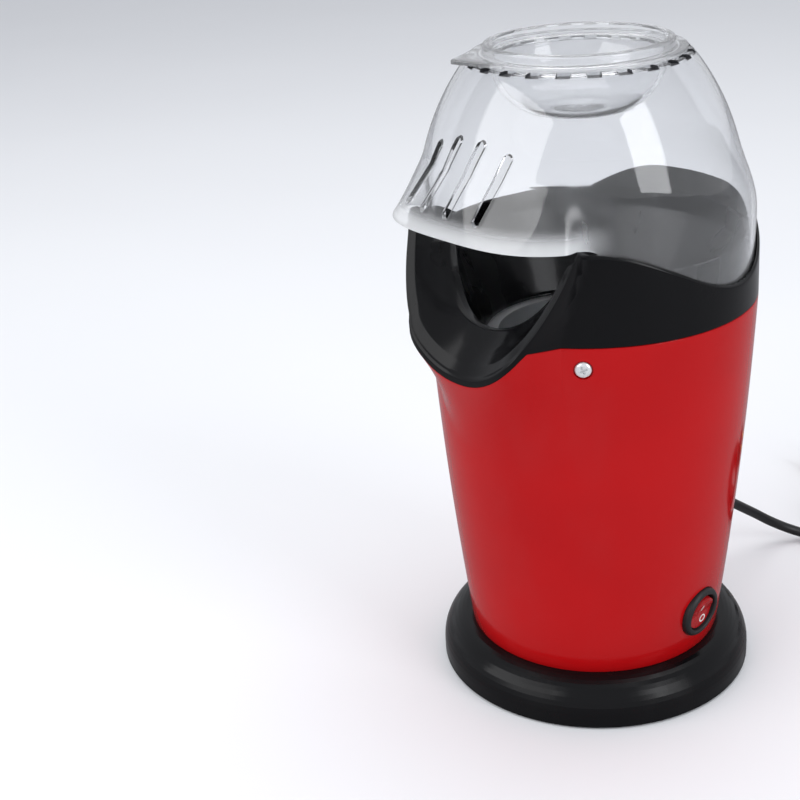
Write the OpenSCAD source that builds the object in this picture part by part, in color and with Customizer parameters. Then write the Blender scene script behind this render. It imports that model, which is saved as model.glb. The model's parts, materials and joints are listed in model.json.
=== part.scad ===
// Hot-air popcorn maker: base, shell, collar with chute, clear cover, measuring cup,
// and the fan, motor, heater and popping chamber inside. The origin is on the table, on the
// shell's axis. The chute faces -Y. Angles called "a" are turned from the chute, -Y towards +X.

/* [Body shell] */
// Outer radius of the shell where it stands on the base
shell_foot_r = 57.9; // [54:0.1:66]
// Outer radius of the shell at the collar seam
shell_top_r = 71.6; // [68:0.1:90]
// How far the side bulges beyond a straight cone
shell_bulge = 1.7; // [0:0.1:4]
// Height of the shell, from the base to the collar seam
shell_h = 160.5; // [130:0.5:200]
// Wall of the moulded shell and collar
wall = 2.2; // [1.8:0.1:2.8]
// Height over which the chin blends from the chute's lip into the shell
chin_h = 38; // [25:1:60]

/* [Base] */
// Radius of the base at the table
base_r = 72.2; // [66:0.1:90]
// Height of the base, from the table to the shell's foot
base_h = 20.5; // [17:0.5:26]
// Gap between the table and the base's skirt
base_lift = 1; // [0.5:0.1:2]
// Height of the lap that the base sends up inside the shell
base_lap_h = 6; // [4:0.5:12]
// Radius of a rubber foot
foot_r = 5; // [3.5:0.1:7]
// Height of a rubber foot
foot_h = 3; // [2.6:0.1:4]
// Thickness of the bottom plate
plate_t = 2.2; // [1.6:0.1:3]

/* [Collar and chute] */
// Height of the collar's rim above the seam
rim_h = 38; // [34:0.5:46]
// How much wider the collar is at its rim than at the seam
collar_flare = -0.5; // [-2:0.1:3]
// Depth of the two finger dips in the rim
dip_h = 23.7; // [0:0.1:24]
// Angle of a finger dip from the chute
dip_a = 105; // [100:1:112]
// Angle from a dip's middle to its end
dip_half_a = 60; // [30:1:60]
// Height of the cover's seat above the seam
seat_h = 13; // [10:0.5:15]
// Height of the inner wall's top above the seam
inner_wall_h = 27.5; // [24:0.5:33]
// Length of the lap that the collar sends down inside the shell
lap_h = 15; // [12:0.5:20]
// Half-angle of the chute's mouth at the rim
mouth_a = 41; // [38:0.5:44]
// Depth of the mouth's lowest point below the seam
mouth_drop = 17; // [12:0.5:22]
// Distance of the lip in front of the axis
lip_reach = 79; // [74:0.5:86]
// Distance of the mouth's upper corners in front of the axis
corner_reach = 61; // [57:0.5:66]
// Height of the mouth's upper corners above the rim
corner_lift = 2.8; // [0:0.1:4]
// Angle by which the chute's side walls spread at the rim
spread_a = 16; // [4:1:20]
// Thickness of the lip above the red shell
lip_t = 3.5; // [3:0.5:6]
// Reach of the chute's crest from the axis
crest_r = 61; // [56:0.5:64]
// Depth of the crest's lowest point below the seam
crest_drop = 0; // [0:0.5:6]

/* [Cover] */
// Thickness of the clear cover
cover_t = 2; // [1.4:0.1:2.6]
// Height of the cover from its seat to its crown
cover_h = 90.2; // [75:0.1:105]
// How far the crown is moved towards the chute
crown_shift = 5.5; // [0:0.5:7]
// Radius of the hole in the crown
crown_hole_r = 41.5; // [37:0.1:42.5]
// Reach of the hood from the axis, at the chute
hood_reach = 82.4; // [78:0.1:88]
// Half-width that the hood's rounded front tends to
hood_half_w = 62; // [58:0.5:66]
// Height over which the hood blends into the dome
hood_h = 24; // [15:0.5:32]
// Number of vent slots in the hood
slot_n = 4; // [2:1:6]
// Angle between vent slots
slot_step_a = 11.4; // [9:0.1:13]
// Angle by which the vent slots lean, with their feet towards -X
slot_lean_a = 22; // [0:1:25]
// Width of a vent slot
slot_w = 4; // [2:0.1:5]
// Length of the longest vent slot
slot_len = 31; // [12:1:33]
// Number of notches round the crown
notch_n = 24; // [8:1:30]
// Width of a crown notch
notch_w = 5.6; // [3:0.1:7]
// Depth of a crown notch
notch_h = 1.3; // [0.8:0.1:2]

/* [Measuring cup] */
// Thickness of the cup
cup_t = 1.8; // [1.4:0.1:2.4]
// Gap from the crown's hole in to the raised ring on the cup
ring_inset = 2.4; // [1:0.1:7.5]
// Width of the raised ring
ring_w = 3.9; // [3:0.1:5]
// Height of the raised ring above the flange
ring_h = 3.7; // [2.5:0.1:10]
// Radius of the flange that rests on the crown
flange_r = 44.2; // [43:0.1:46]
// Depth of the bowl below the flange
bowl_depth = 24; // [15:0.5:28]
// Radius of the bowl's flat bottom
bowl_flat_r = 15; // [8:0.5:22]
// Reach of the thumb tab from the cup's centre
tab_reach = 55; // [48:0.5:60]
// Angle by which the cup is turned in the crown
cup_turn_a = -22; // [-180:1:180]

/* [Popping chamber and duct] */
// Outer radius of the popping chamber
chamber_r = 42; // [36:0.5:43]
// Sheet thickness of the chamber
chamber_t = 1; // [0.6:0.1:1.4]
// Width of the chamber's rim flange
chamber_flange_w = 6; // [5:0.5:7]
// Depth of the chamber's rim below the seam
chamber_drop = 18; // [14:0.5:22]
// Number of slanted louvres in the chamber's wall
louvre_n = 16; // [8:1:24]
// Gap between the chamber and the duct sleeve
duct_gap = 5; // [4:0.5:6]
// Sheet thickness of the duct sleeve
sleeve_t = 0.6; // [0.4:0.1:1]

/* [Fan, motor and heater] */
// Height of the fan housing
housing_h = 37.5; // [34:0.5:44]
// Inner radius of the fan housing
housing_r = 38; // [32:0.5:39]
// Wall of the fan housing
housing_t = 2; // [1.6:0.1:2.4]
// Height of the motor spider above the foot of the fan housing
spider_h = 25.5; // [22:0.5:27]
// Gap between the fan's tips and the housing
fan_gap = 1.5; // [1:0.1:4]
// Number of fan blades
blade_n = 7; // [3:1:9]
// Height of the fan
fan_h = 11; // [8:0.5:13]
// Radius of the motor can
motor_r = 13.8; // [12:0.1:15]
// Length of the motor can
motor_len = 36; // [30:0.5:42]
// Radius of the motor shaft
shaft_r = 1.5; // [1:0.1:2]
// Number of mica boards in the heater
board_n = 4; // [3:1:6]
// Height of the mica boards
board_h = 30; // [26:0.5:34]
// Number of turns in the heater coil
coil_turns = 4; // [2:1:4]
// Radius of the heater wire
heater_wire_r = 0.7; // [0.4:0.1:0.9]

/* [Switch] */
// Radius of the switch bezel
bezel_r = 11.7; // [11:0.1:13]
// Angle of the switch from the chute
switch_a = 96; // [85:1:110]
// Height of the switch above the table
switch_z = 40; // [38:0.5:43]
// Radius of the rocker
rocker_r = 8; // [7:0.1:8.4]
// Angle that the rocker turns through, from off to on
rocker_swing_a = 20; // [12:1:24]

/* [Screws] */
// Shank radius of the screws
screw_r = 1.5; // [1.2:0.1:1.8]
// Head radius of the screws
head_r = 3.4; // [2.8:0.1:3.6]
// Height of a screw head
head_h = 1.7; // [1.2:0.1:2]

/* [Cord] */
// Diameter of the cord
cord_d = 5; // [5:0.1:5.4]
// Height at which the cord leaves the shell
cord_z = 51.5; // [50.5:0.5:54]

/* [Hidden] */
// Clearances
fit = 0.3;          // gap between pieces that slip together
cover_gap = 0.3;    // gap each side of the cover's skirt
running = 0.05;     // radial gap of the shaft in its bearing
seam_gap = 0.1;     // gap between the shell's upper edge and the collar
$fn = 64;

// Heights
seam_z = base_h + shell_h;
rim_z = seam_z + rim_h;
seat_z = seam_z + seat_h;
inner_wall_z = seam_z + inner_wall_h;
mouth_z = seam_z - mouth_drop;
crest_z = seam_z - crest_drop;
flange_z = seam_z - chamber_drop;     // underside of the collar's throat, top of the chamber's flange
cover_z = seat_z + fit;
crown_z = seat_z + cover_h;
hood_z = rim_z + corner_lift + 1.2;
cup_z = crown_z + fit;                // underside of the cup's flange
total_h = cup_z + cup_t + ring_h;

deck_t = 2.4;                         // thickness of the base's deck and skirt
plate_z = foot_h;                     // underside of the bottom plate
housing_top_z = base_h + housing_h;
spider_z = base_h + spider_h;         // underside of the motor spider
flange_t = 2.5;                       // thickness of the housing's flanges and spider
motor_z = spider_z + flange_t;
motor_top_z = motor_z + motor_len;
fan_z = spider_z - fan_h - 5.5;
board_top_z = housing_top_z + board_h;
chamber_floor_z = max(board_top_z, motor_top_z + 3.5) + 6;

// Shell and collar outline
chute_steps = 14;                     // cross-sections in each half of the mouth
chute_step_a = mouth_a / chute_steps;
wall_low_a = (chute_steps - 2) * chute_step_a;  // where the chute's side walls leave the round collar,
wall_high_a = (chute_steps + 1) * chute_step_a; // at the seam and at the rim
spread_low_a = -20;                   // the same at the seam, where they draw together towards the lip
corner_power = 20;                    // sharpness of the corner between side wall and mouth
mouth_power = 2.3;                    // shape of the U of the mouth
edge_rate = 1.5;                      // how soon below its corners the mouth's edge reaches the lip's distance
corner_z = rim_z + corner_lift;

function smooth(t) = let(c = min(max(t, 0), 1)) c * c * (3 - 2 * c);
function mix(p, q, t) = p + (q - p) * t;

function shell_r(z) = let(t = (z - base_h) / shell_h)
    z > seam_z ? shell_top_r + collar_flare * (z - seam_z) / rim_h
               : mix(shell_foot_r, shell_top_r, t) + 4 * shell_bulge * t * (1 - t);

// The mouth's edge: its height at an angle, and its distance in front of the axis at a height
function edge_z(a) = mouth_z + (corner_z - mouth_z) * pow(abs(a) / mouth_a, mouth_power);
function edge_y(z) = mix(corner_reach, lip_reach, smooth(edge_rate * (corner_z - z) / (corner_z - mouth_z)));

// The chute's side walls run forward from the round collar, and meet the mouth in a soft corner
function up_collar(z) = min(max((z - seam_z) / rim_h, 0), 1);
function wall_a(z) = mix(wall_low_a, wall_high_a, up_collar(z));
function wall_spread(z) = mix(spread_low_a, spread_a, up_collar(z));
function chute_r(a, z) = let(b = wall_spread(z))
    pow(pow(max(sin(abs(a) - b), 0.001) / (shell_r(z) * sin(wall_a(z) - b)), corner_power)
        + pow(cos(a) / edge_y(z), corner_power), -1 / corner_power);
function collar_r(a, z) = abs(a) < wall_a(z) ? max(shell_r(z), chute_r(a, z)) : shell_r(z);

// The seam runs level round the collar and dips under the lip
function seam_at(a) = abs(a) < mouth_a ? min(seam_z, edge_z(a) - lip_t) : seam_z;
// Outer radius of shell and collar together: the chin fades out below the seam
function outer_r(a, z) = let(s = (seam_at(a) - z) / chin_h, zs = seam_at(a))
    s <= 0 ? collar_r(a, z)
           : shell_r(z) + (collar_r(a, zs) - shell_r(zs)) * pow(max(1 - s, 0), 2);

// The collar's upper edge: the mouth in front, a wavy rim with two finger dips behind
function rim_at(a) = let(x = (abs(a) - dip_a) / dip_half_a)
    abs(a) < mouth_a ? edge_z(a)
                     : rim_z + corner_lift * max(1 - (abs(a) - mouth_a) / chute_step_a, 0)
                       - dip_h * (abs(x) < 1 ? (1 + cos(180 * x)) / 2 : 0);

// Angles of the cross-sections, closer together across the chute
fine_n = chute_steps + 4;
section_angles = concat([for (i = [-fine_n:fine_n]) i * chute_step_a], [for (a = [60:6:174]) a], [180],
                        [for (a = [-174:6:-60]) a]);

// A closed solid swept once round the axis from one outline of [radius, height, shift] per angle,
// where shift moves the point towards the chute
module sweep_round(angles, outlines) {
    n = len(outlines[0]);
    m = len(angles);
    polyhedron(
        points = [for (i = [0:m - 1]) for (p = outlines[i])
                  [p[0] * sin(angles[i]), -p[0] * cos(angles[i]) - p[2], p[1]]],
        faces = [for (i = [0:m - 1]) for (j = [0:n - 1])
                 let(i2 = (i + 1) % m, j2 = (j + 1) % n)
                 [i * n + j, i * n + j2, i2 * n + j2, i2 * n + j]],
        convexity = 8);
}

// Puts its children on the shell's outer surface, with -Y pointing straight out of it
module on_shell(a, z) {
    slope = (shell_r(z + 1) - shell_r(z - 1)) / 2;
    rotate([0, 0, a]) translate([0, -shell_r(z), z]) rotate([atan(slope), 0, 0]) children();
}

// A cylinder along -Y, from y = -from to y = -to
module out_rod(r, from, to) translate([0, -from, 0]) rotate([90, 0, 0]) cylinder(r = r, h = to - from);

// A ring about the axis, between two heights
module ring(r_out, r_in, low, high) translate([0, 0, low]) difference() {
    cylinder(r = r_out, h = high - low);
    translate([0, 0, -1]) cylinder(r = r_in, h = high - low + 2);
}

// A point at a radius, an angle and a height
function polar(r, a, z) = [r * sin(a), -r * cos(a), z];
function unit(v) = v / norm(v);

// A round tube along a path; side is a direction that the path never takes
module tube(path, r, sides, side) {
    n = len(path);
    rings = [for (i = [0:n - 1])
             let(along = unit(path[min(i + 1, n - 1)] - path[max(i - 1, 0)]),
                 u = unit(cross(along, side)), v = cross(along, u))
             [for (k = [0:sides - 1]) path[i] + r * (u * cos(360 * k / sides) + v * sin(360 * k / sides))]];
    polyhedron(
        points = [for (one = rings) for (p = one) p],
        faces = concat(
            [[for (k = [sides - 1:-1:0]) k]],
            [[for (k = [0:sides - 1]) (n - 1) * sides + k]],
            [for (i = [0:n - 2]) for (k = [0:sides - 1]) let(k2 = (k + 1) % sides)
             [i * sides + k, i * sides + k2, (i + 1) * sides + k2, (i + 1) * sides + k]]),
        convexity = 10);
}

// A smooth curve through hand-placed points, with a few steps between each two
function curve(p, steps) = let(n = len(p)) concat(
    [for (i = [0:n - 2]) for (k = [0:steps - 1])
     let(t = k / steps, a = p[max(i - 1, 0)], b = p[i], c = p[i + 1], d = p[min(i + 2, n - 1)])
     0.5 * (2 * b + (c - a) * t + (2 * a - 5 * b + 4 * c - d) * t * t
            + (3 * b - a - 3 * c + d) * t * t * t)],
    [p[n - 1]]);

// Colours
red = [0.74, 0.09, 0.10];
black = [0.05, 0.05, 0.055];
clear = [0.86, 0.90, 0.93, 0.35];
steel = [0.72, 0.73, 0.75];
aluminium = [0.80, 0.81, 0.82];
mica = [0.72, 0.66, 0.52];
brass = [0.78, 0.62, 0.30];
white = [0.93, 0.93, 0.92];
rubber = [0.12, 0.12, 0.13];

// ---- Base ----

foot_reach = 60;            // radius on which the feet stand
base_screw_reach = 47;      // radius of the screws that hold the bottom plate
housing_screw_reach = 46;   // radius of the screws that hold the fan housing
boss_r = 4;                 // outer radius of a screw boss
rim_band_h = 6;             // height of the near-vertical rim at the foot of the base
ledge = 1.4;                // width of the flat ledge round the shell's foot
base_steps = 10;
lap_r = shell_foot_r - wall - fit;
foot_angles = [45:90:315];
housing_angles = [0:120:240];

// From the near-vertical rim, a quarter of an ellipse up to the ledge round the shell's foot
function base_curve(inset) = let(r = shell_foot_r + ledge) [for (i = [0:base_steps])
    let(t = 90 * i / base_steps)
    [r + (base_r - r - inset) * cos(t), rim_band_h + (base_h - rim_band_h - inset) * sin(t)]];
function backwards(list) = [for (i = [len(list) - 1:-1:0]) list[i]];

module base() color(black) difference() {
    union() {
        rotate_extrude() polygon(concat(
            [[base_r, base_lift]],
            base_curve(0),
            [[lap_r, base_h], [lap_r, base_h + base_lap_h], [lap_r - wall, base_h + base_lap_h],
             [lap_r - wall, base_h], [housing_r, base_h], [housing_r, base_h - deck_t]],
            backwards(base_curve(deck_t)),
            [[base_r - deck_t, base_lift]]));
        for (a = foot_angles) rotate(a) translate([0, -base_screw_reach, plate_z + plate_t])
            cylinder(r = boss_r, h = base_h - deck_t / 2 - plate_z - plate_t);
        for (a = housing_angles) rotate(a) translate([0, -housing_screw_reach, plate_z + plate_t + 3])
            cylinder(r = boss_r, h = base_h - deck_t / 2 - plate_z - plate_t - 3);
    }
    for (a = foot_angles) rotate(a) translate([0, -base_screw_reach, plate_z])
        cylinder(r = screw_r, h = plate_t + 10);
    for (a = housing_angles) rotate(a) translate([0, -housing_screw_reach, base_h - 9])
        cylinder(r = screw_r, h = 12);
}

module bottom_plate() color(black) difference() {
    ring(base_r - deck_t - fit, 5, plate_z, plate_z + plate_t);
    for (a = [0:15:345]) rotate(a) translate([-1.2, 16, 0]) cube([2.4, 17, 10]);
    for (a = foot_angles) rotate(a) translate([0, -base_screw_reach, 0]) cylinder(r = screw_r, h = 10);
}

module rubber_feet() color(rubber)
    for (a = foot_angles) rotate(a) translate([0, -foot_reach, 0]) cylinder(r = foot_r, h = foot_h);

// A pan-head screw along +Z: its head below, its shank from z = 0 upwards
module screw(length) {
    translate([0, 0, -head_h]) difference() {
        union() {
            cylinder(r1 = head_r - 0.8, r2 = head_r, h = 0.7);
            translate([0, 0, 0.7]) cylinder(r = head_r, h = head_h - 0.7);
        }
        for (a = [0, 90]) rotate(a) translate([-1.7, -0.4, -1]) cube([3.4, 0.8, 1.9]);
    }
    cylinder(r = screw_r, h = length);
}

module base_screws() color(steel)
    for (a = foot_angles) rotate(a) translate([0, -base_screw_reach, plate_z]) screw(plate_t + 9);

// ---- Body shell ----

foot_rows = 5;
chin_rows = 7;
screw_z = seam_z - 9.2;               // height of the collar screws
screw_angles = [-mouth_a - 1, mouth_a + 1, 180];
recess_r = head_r + 0.6;
recess_h = 1;
barrel_r = 9.6;                       // radius of the switch body behind the shell
switch_inset = 1.2;                   // depth of the flat on which the bezel sits
relief_hole_r = 4.4;

function shell_heights(a) = let(zs = seam_at(a), zc = zs - chin_h) concat(
    [for (i = [0:foot_rows - 1]) mix(base_h, zc, i / foot_rows)],
    [for (i = [0:chin_rows]) mix(zc, zs, i / chin_rows)]);
function shell_outline(a) = let(zs = shell_heights(a)) concat(
    [for (z = zs) [outer_r(a, z), z, 0]],
    [for (z = backwards(zs)) [outer_r(a, z) - wall, z, 0]]);

module body_shell() color(red) difference() {
    sweep_round(section_angles, [for (a = section_angles) shell_outline(a)]);
    for (a = screw_angles) on_shell(a, screw_z) {
        out_rod(screw_r + 0.2, -6, 4);
        out_rod(recess_r, -recess_h, 4);
    }
    on_shell(switch_a, switch_z) {
        out_rod(barrel_r + 0.2, -6, 4);
        out_rod(bezel_r + 0.4, -switch_inset, 4);
    }
    on_shell(180, cord_z) out_rod(relief_hole_r, -8, 8);
}

// ---- Collar ----

rim_wall = 1.1;                       // least wall of the collar above the seat
groove_r = min(shell_r(seat_z), shell_r(rim_z)) - rim_wall;
skirt_r = groove_r - cover_gap;       // outer radius of the cover's skirt
inner_wall_r = skirt_r - cover_t - cover_gap;
inner_wall_t = 2;
funnel_r = inner_wall_r - inner_wall_t;
throat_r = chamber_r + 4;
chute_full_a = (chute_steps - 1.5) * chute_step_a; // the chute's outline holds up to here
round_full_a = (chute_steps + 2) * chute_step_a;   // and the round collar's from here

function crest_h(a) = min(inner_wall_z, max(mix(crest_z, inner_wall_z, pow(abs(a) / chute_full_a, mouth_power)),
                                            edge_z(a) + 6));
function lap_in(a, z) = outer_r(a, z) - 2 * wall - fit;
function lap_rows(a) = let(zs = seam_at(a)) [zs - lap_h, zs - lap_h / 2, zs];

// The outside, from the lap's lower edge up to the rim, for every angle
function collar_outside(a) = let(zs = seam_at(a), zt = rim_at(a)) concat(
    [for (z = lap_rows(a)) [outer_r(a, z) - wall - fit, z == zs ? z + seam_gap : z, 0]],
    [[outer_r(a, zs), zs + seam_gap, 0]],
    [for (t = [1 / 3, 2 / 3]) let(z = mix(zs, zt - 1, t)) [collar_r(a, z), z, 0]],
    [[collar_r(a, zt - 1), zt - 1, 0], [collar_r(a, zt) - 0.5, zt, 0]]);

// The inside of the round collar: groove for the cover, inner wall, funnel and throat
function round_inside(a) = let(zt = rim_at(a), zs = seam_at(a)) [
    [groove_r, zt, 0], [groove_r, seat_z, 0], [inner_wall_r, seat_z, 0],
    [inner_wall_r, inner_wall_z, 0], [funnel_r, inner_wall_z, 0], [funnel_r - 1, seat_z + 6, 0],
    [throat_r, flange_z + 2, 0], [throat_r, flange_z, 0], [throat_r + 2.2, flange_z, 0],
    [funnel_r - 3.5, seat_z - 2.5, 0], [lap_in(a, zs), seat_z - 2.5, 0], [lap_in(a, zs - lap_h), zs - lap_h, 0]];

// The inside of the chute: from the lip up to the crest, and down to the throat
function chute_inside(a) = let(zt = rim_at(a), zs = seam_at(a), r = collar_r(a, zt), zc = crest_h(a),
                               low = [r - 4.5, zt + 4.5, 0], high = [crest_r + 2, zc - 0.7, 0]) [
    [r - 1.6, zt + 0.8, 0], low, (low + high) / 2,
    high, [crest_r, zc, 0], [crest_r - 3, zc - 1.5, 0],
    [throat_r, flange_z + 2, 0], [throat_r, flange_z, 0], [throat_r + 2.2, flange_z, 0],
    [crest_r - 1.5, zc - 4.5, 0], [lap_in(a, zs), zt + 2.5, 0], [lap_in(a, zs - lap_h), zs - lap_h, 0]];

function collar_outline(a) = let(k = smooth((abs(a) - chute_full_a) / (round_full_a - chute_full_a)))
    concat(collar_outside(a), abs(a) < round_full_a ? mix(chute_inside(a), round_inside(a), k) : round_inside(a));

module collar() color(black) difference() {
    union() {
        sweep_round(section_angles, [for (a = section_angles) collar_outline(a)]);
        for (a = screw_angles) on_shell(a, screw_z) out_rod(3.8, -12, -wall - 1.2);
    }
    for (a = screw_angles) on_shell(a, screw_z) out_rod(screw_r, -13, 4);
}

module collar_screws() color(steel)
    for (a = screw_angles) on_shell(a, screw_z)
        translate([0, recess_h, 0]) rotate([-90, 0, 0]) screw(9);

// ---- Cover ----

cover_a = (chute_steps + 2.5) * chute_step_a; // half-angle of the raised edge over the chute
skirt_rows = 7;
dome_rows = 8;
dome_start_z = seat_z + 19.5; // below it the skirt is a plain cylinder
dome_reach = cover_h * 1.042; // height above the skirt at which the dome's ellipse would close
hood_power = 3.2;           // shape of the hood's rounded front
hood_side_a = mouth_a - 3;  // the hood's sides fall back to the dome from here to round_full_a
hood_power_z = 1.3;         // how the hood blends into the dome above it

function dome_r(z) = skirt_r * sqrt(1 - pow(max(z - dome_start_z, 0) / dome_reach, 2));
function dome_shift(z) = crown_shift * smooth((z - rim_z) / 28);
function hood_r(a) = pow(pow(max(abs(sin(a)), 0.001) / hood_half_w, hood_power)
                         + pow(max(cos(a), 0.001) / hood_reach, hood_power), -1 / hood_power);
function hood_k(z) = pow(min(max((hood_z + hood_h - z) / hood_h, 0), 1), hood_power_z);
function hood_side(a) = 1 - smooth((abs(a) - hood_side_a) / (round_full_a - hood_side_a));
function cover_r(a, z) = dome_r(z) + (abs(a) > round_full_a ? 0
    : hood_side(a) * hood_k(z) * max(0, hood_r(a) - dome_r(hood_z) - dome_shift(hood_z)));
function cover_low(a) = abs(a) > cover_a ? cover_z
    : mix(hood_z, rim_z + fit, min(max((abs(a) - mouth_a) / (2 * chute_step_a), 0), 1));
function cover_heights(a) = concat(
    [for (i = [0:skirt_rows]) mix(cover_low(a), hood_z + hood_h, i / skirt_rows)],
    [for (i = [1:dome_rows]) mix(hood_z + hood_h, crown_z, sin(90 * i / dome_rows))]);
function cover_inner(a, z) = let(slope = cover_r(a, z + 0.5) - cover_r(a, z - 0.5), n = sqrt(1 + slope * slope))
    [cover_r(a, z) - cover_t / n, z + cover_t * slope / n, dome_shift(z)];
function cover_outline(a) = let(zs = cover_heights(a), n = len(zs)) concat(
    [for (z = zs) [cover_r(a, z), z, dome_shift(z)]],
    [[crown_hole_r, crown_z, crown_shift], [crown_hole_r, crown_z - cover_t, crown_shift]],
    [for (i = [n - 2:-1:1]) cover_inner(a, zs[i])],
    [[cover_r(a, zs[0]) - cover_t, zs[0], dome_shift(zs[0])]]);

module cover() color(clear) difference() {
    sweep_round(section_angles, [for (a = section_angles) cover_outline(a)]);
    for (i = [0:slot_n - 1]) let(k = i - (slot_n - 1) / 2) rotate(k * slot_step_a) vent_slot(k);
    translate([0, -crown_shift, 0]) for (i = [0:notch_n - 1]) rotate(360 * (i + 0.5) / notch_n)
        translate([-notch_w / 2, crown_hole_r - 1, crown_z - notch_h]) cube([notch_w, 10, 5]);
}

// A leaning slot with round ends; the outer slots are shorter at the top
module vent_slot(k) {
    length = (slot_len - 1.1 * k * k - 1.5 * abs(k)) / cos(slot_lean_a);
    rise = length - slot_w;
    translate([-rise * sin(slot_lean_a), 0, hood_z + 7 + slot_w / 2]) rotate([0, slot_lean_a, 0]) {
        for (z = [0, rise]) translate([0, -45, z]) rotate([90, 0, 0]) cylinder(r = slot_w / 2, h = 50);
        translate([-slot_w / 2, -95, 0]) cube([slot_w, 50, rise]);
    }
}

// ---- Measuring cup ----

ring_r = crown_hole_r - ring_inset;
ring_in_r = ring_r - ring_w;
bowl_low_z = cup_z - bowl_depth;
bowl_steps = 10;
rib_r = crown_hole_r - 2 * fit;       // locating rib under the flange
tab_root = 8.7;                       // how far the tab starts inside the flange
tab_half_w = 26.3;                    // where its sides run into the flange
tab_power = 1.2;                      // how hollow the tab's sides are
tab_tilt_a = 3;

function bowl_curve(out) = [for (i = [0:bowl_steps]) let(t = 90 * i / bowl_steps)
    [bowl_flat_r + (ring_in_r - bowl_flat_r + out) * cos(t),
     cup_z + cup_t - (bowl_depth + out) * sin(t)]];

module measuring_cup() color(clear) translate([0, -crown_shift, 0]) rotate(cup_turn_a) {
    rotate_extrude() polygon(concat(
        [[rib_r - 1.6, cup_z], [rib_r - 1.6, cup_z - 2.3], [rib_r, cup_z - 2.3], [rib_r, cup_z],
         [flange_r, cup_z], [flange_r, cup_z + cup_t], [ring_r, cup_z + cup_t],
         [ring_r, total_h - 0.8], [ring_r - 0.8, total_h], [ring_in_r + 0.8, total_h],
         [ring_in_r, total_h - 0.8]],
        bowl_curve(0),
        [[0, cup_z + cup_t - bowl_depth], [0, bowl_low_z]],
        [for (p = backwards(bowl_curve(cup_t))) if (p[1] < cup_z) p],
        [[ring_in_r + cup_t, cup_z]]));
    translate([0, tab_root - flange_r, cup_z]) rotate([-tab_tilt_a, 0, 0]) linear_extrude(cup_t)
        polygon([for (x = [-1:0.125:1])
                 [x * tab_half_w, (flange_r - tab_reach - tab_root) * pow(1 - abs(x), tab_power)]]);
}

// ---- Popping chamber and duct sleeve ----

chamber_in_r = chamber_r - chamber_t;
chamber_flange_r = chamber_r + chamber_flange_w;
sleeve_r = chamber_r + duct_gap;      // inner radius of the sleeve
dish_r = 14;                          // foot of the cone in the chamber's floor
dish_h = 6;

module popping_chamber() color(aluminium) difference() {
    rotate_extrude() polygon([
        [0, chamber_floor_z + dish_h], [dish_r, chamber_floor_z], [chamber_r - 3, chamber_floor_z],
        [chamber_r, chamber_floor_z + 3], [chamber_r, flange_z - chamber_t],
        [chamber_flange_r, flange_z - chamber_t], [chamber_flange_r, flange_z], [chamber_in_r, flange_z],
        [chamber_in_r, chamber_floor_z + 3.4], [chamber_r - 3.4, chamber_floor_z + chamber_t],
        [dish_r + 0.3, chamber_floor_z + chamber_t], [0, chamber_floor_z + dish_h + chamber_t]]);
    for (i = [0:louvre_n - 1]) rotate(360 * i / louvre_n)
        translate([0, -chamber_r, chamber_floor_z + 11]) rotate([0, 25, 50])
            translate([-0.9, -5, -6]) cube([1.8, 10, 12]);
}

module duct_sleeve() color(steel)
    ring(sleeve_r + sleeve_t, sleeve_r, housing_top_z, flange_z - chamber_t);

// ---- Fan housing, motor and fan ----

hub_r = 15;                           // hub of the motor spider
motor_screw_reach = 8.5;
post_reach = 43;
post_r = 1.5;
post_angles = [200, 150];             // first and last end of the heater coil
housing_flange_r = lap_r - wall - 1;
top_flange_r = sleeve_r + sleeve_t + 1.2;

module fan_housing() color(steel) difference() {
    union() {
        ring(housing_r + housing_t, housing_r, base_h, housing_top_z);
        ring(housing_flange_r, housing_r, base_h, base_h + flange_t);
        ring(top_flange_r, housing_r, housing_top_z - flange_t, housing_top_z);
        translate([0, 0, spider_z]) cylinder(r = hub_r, h = flange_t);
        for (a = housing_angles) rotate(a)
            translate([-3, -housing_r - housing_t / 2, spider_z]) cube([6, housing_r - hub_r + 2, flange_t]);
    }
    translate([0, 0, spider_z - 1]) cylinder(r = 3.3, h = flange_t + 2);
    for (x = [-1, 1]) translate([x * motor_screw_reach, 0, spider_z - 1])
        cylinder(r = 1.1, h = flange_t + 2);
    for (a = housing_angles) rotate(a) translate([0, -housing_screw_reach, base_h - 1])
        cylinder(r = screw_r, h = flange_t + 2);
    for (a = post_angles) translate(polar(post_reach, a, housing_top_z - flange_t - 1))
        cylinder(r = post_r, h = flange_t + 2);
}

module housing_screws() color(steel)
    for (a = housing_angles) rotate(a) translate([0, -housing_screw_reach, base_h + flange_t])
        rotate([180, 0, 0]) screw(11);

module motor() color(steel) difference() {
    union() {
        rotate_extrude() polygon([
            [0, spider_z], [3, spider_z], [3, motor_z], [motor_r - 1, motor_z], [motor_r, motor_z + 1],
            [motor_r, motor_top_z - 1], [motor_r - 1, motor_top_z], [4, motor_top_z],
            [4, motor_top_z + 1.2], [0, motor_top_z + 1.2]]);
    }
    translate([0, 0, spider_z - 1]) cylinder(r = shaft_r + running, h = motor_len - 4);
    for (x = [-1, 1]) translate([x * motor_screw_reach, 0, motor_z - 1]) cylinder(r = 1.05, h = 5);
}

module motor_screws() color(steel)
    for (x = [-1, 1]) translate([x * motor_screw_reach, 0, spider_z]) {
        translate([0, 0, -1.4]) cylinder(r = 2.2, h = 1.4);
        cylinder(r = 1, h = flange_t + 3);
    }

module motor_shaft() color(steel)
    translate([0, 0, fan_z - 1]) cylinder(r = shaft_r, h = motor_z + motor_len - 8 - fan_z);

blade_pitch_a = 38;
fan_hub_r = 6;

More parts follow.
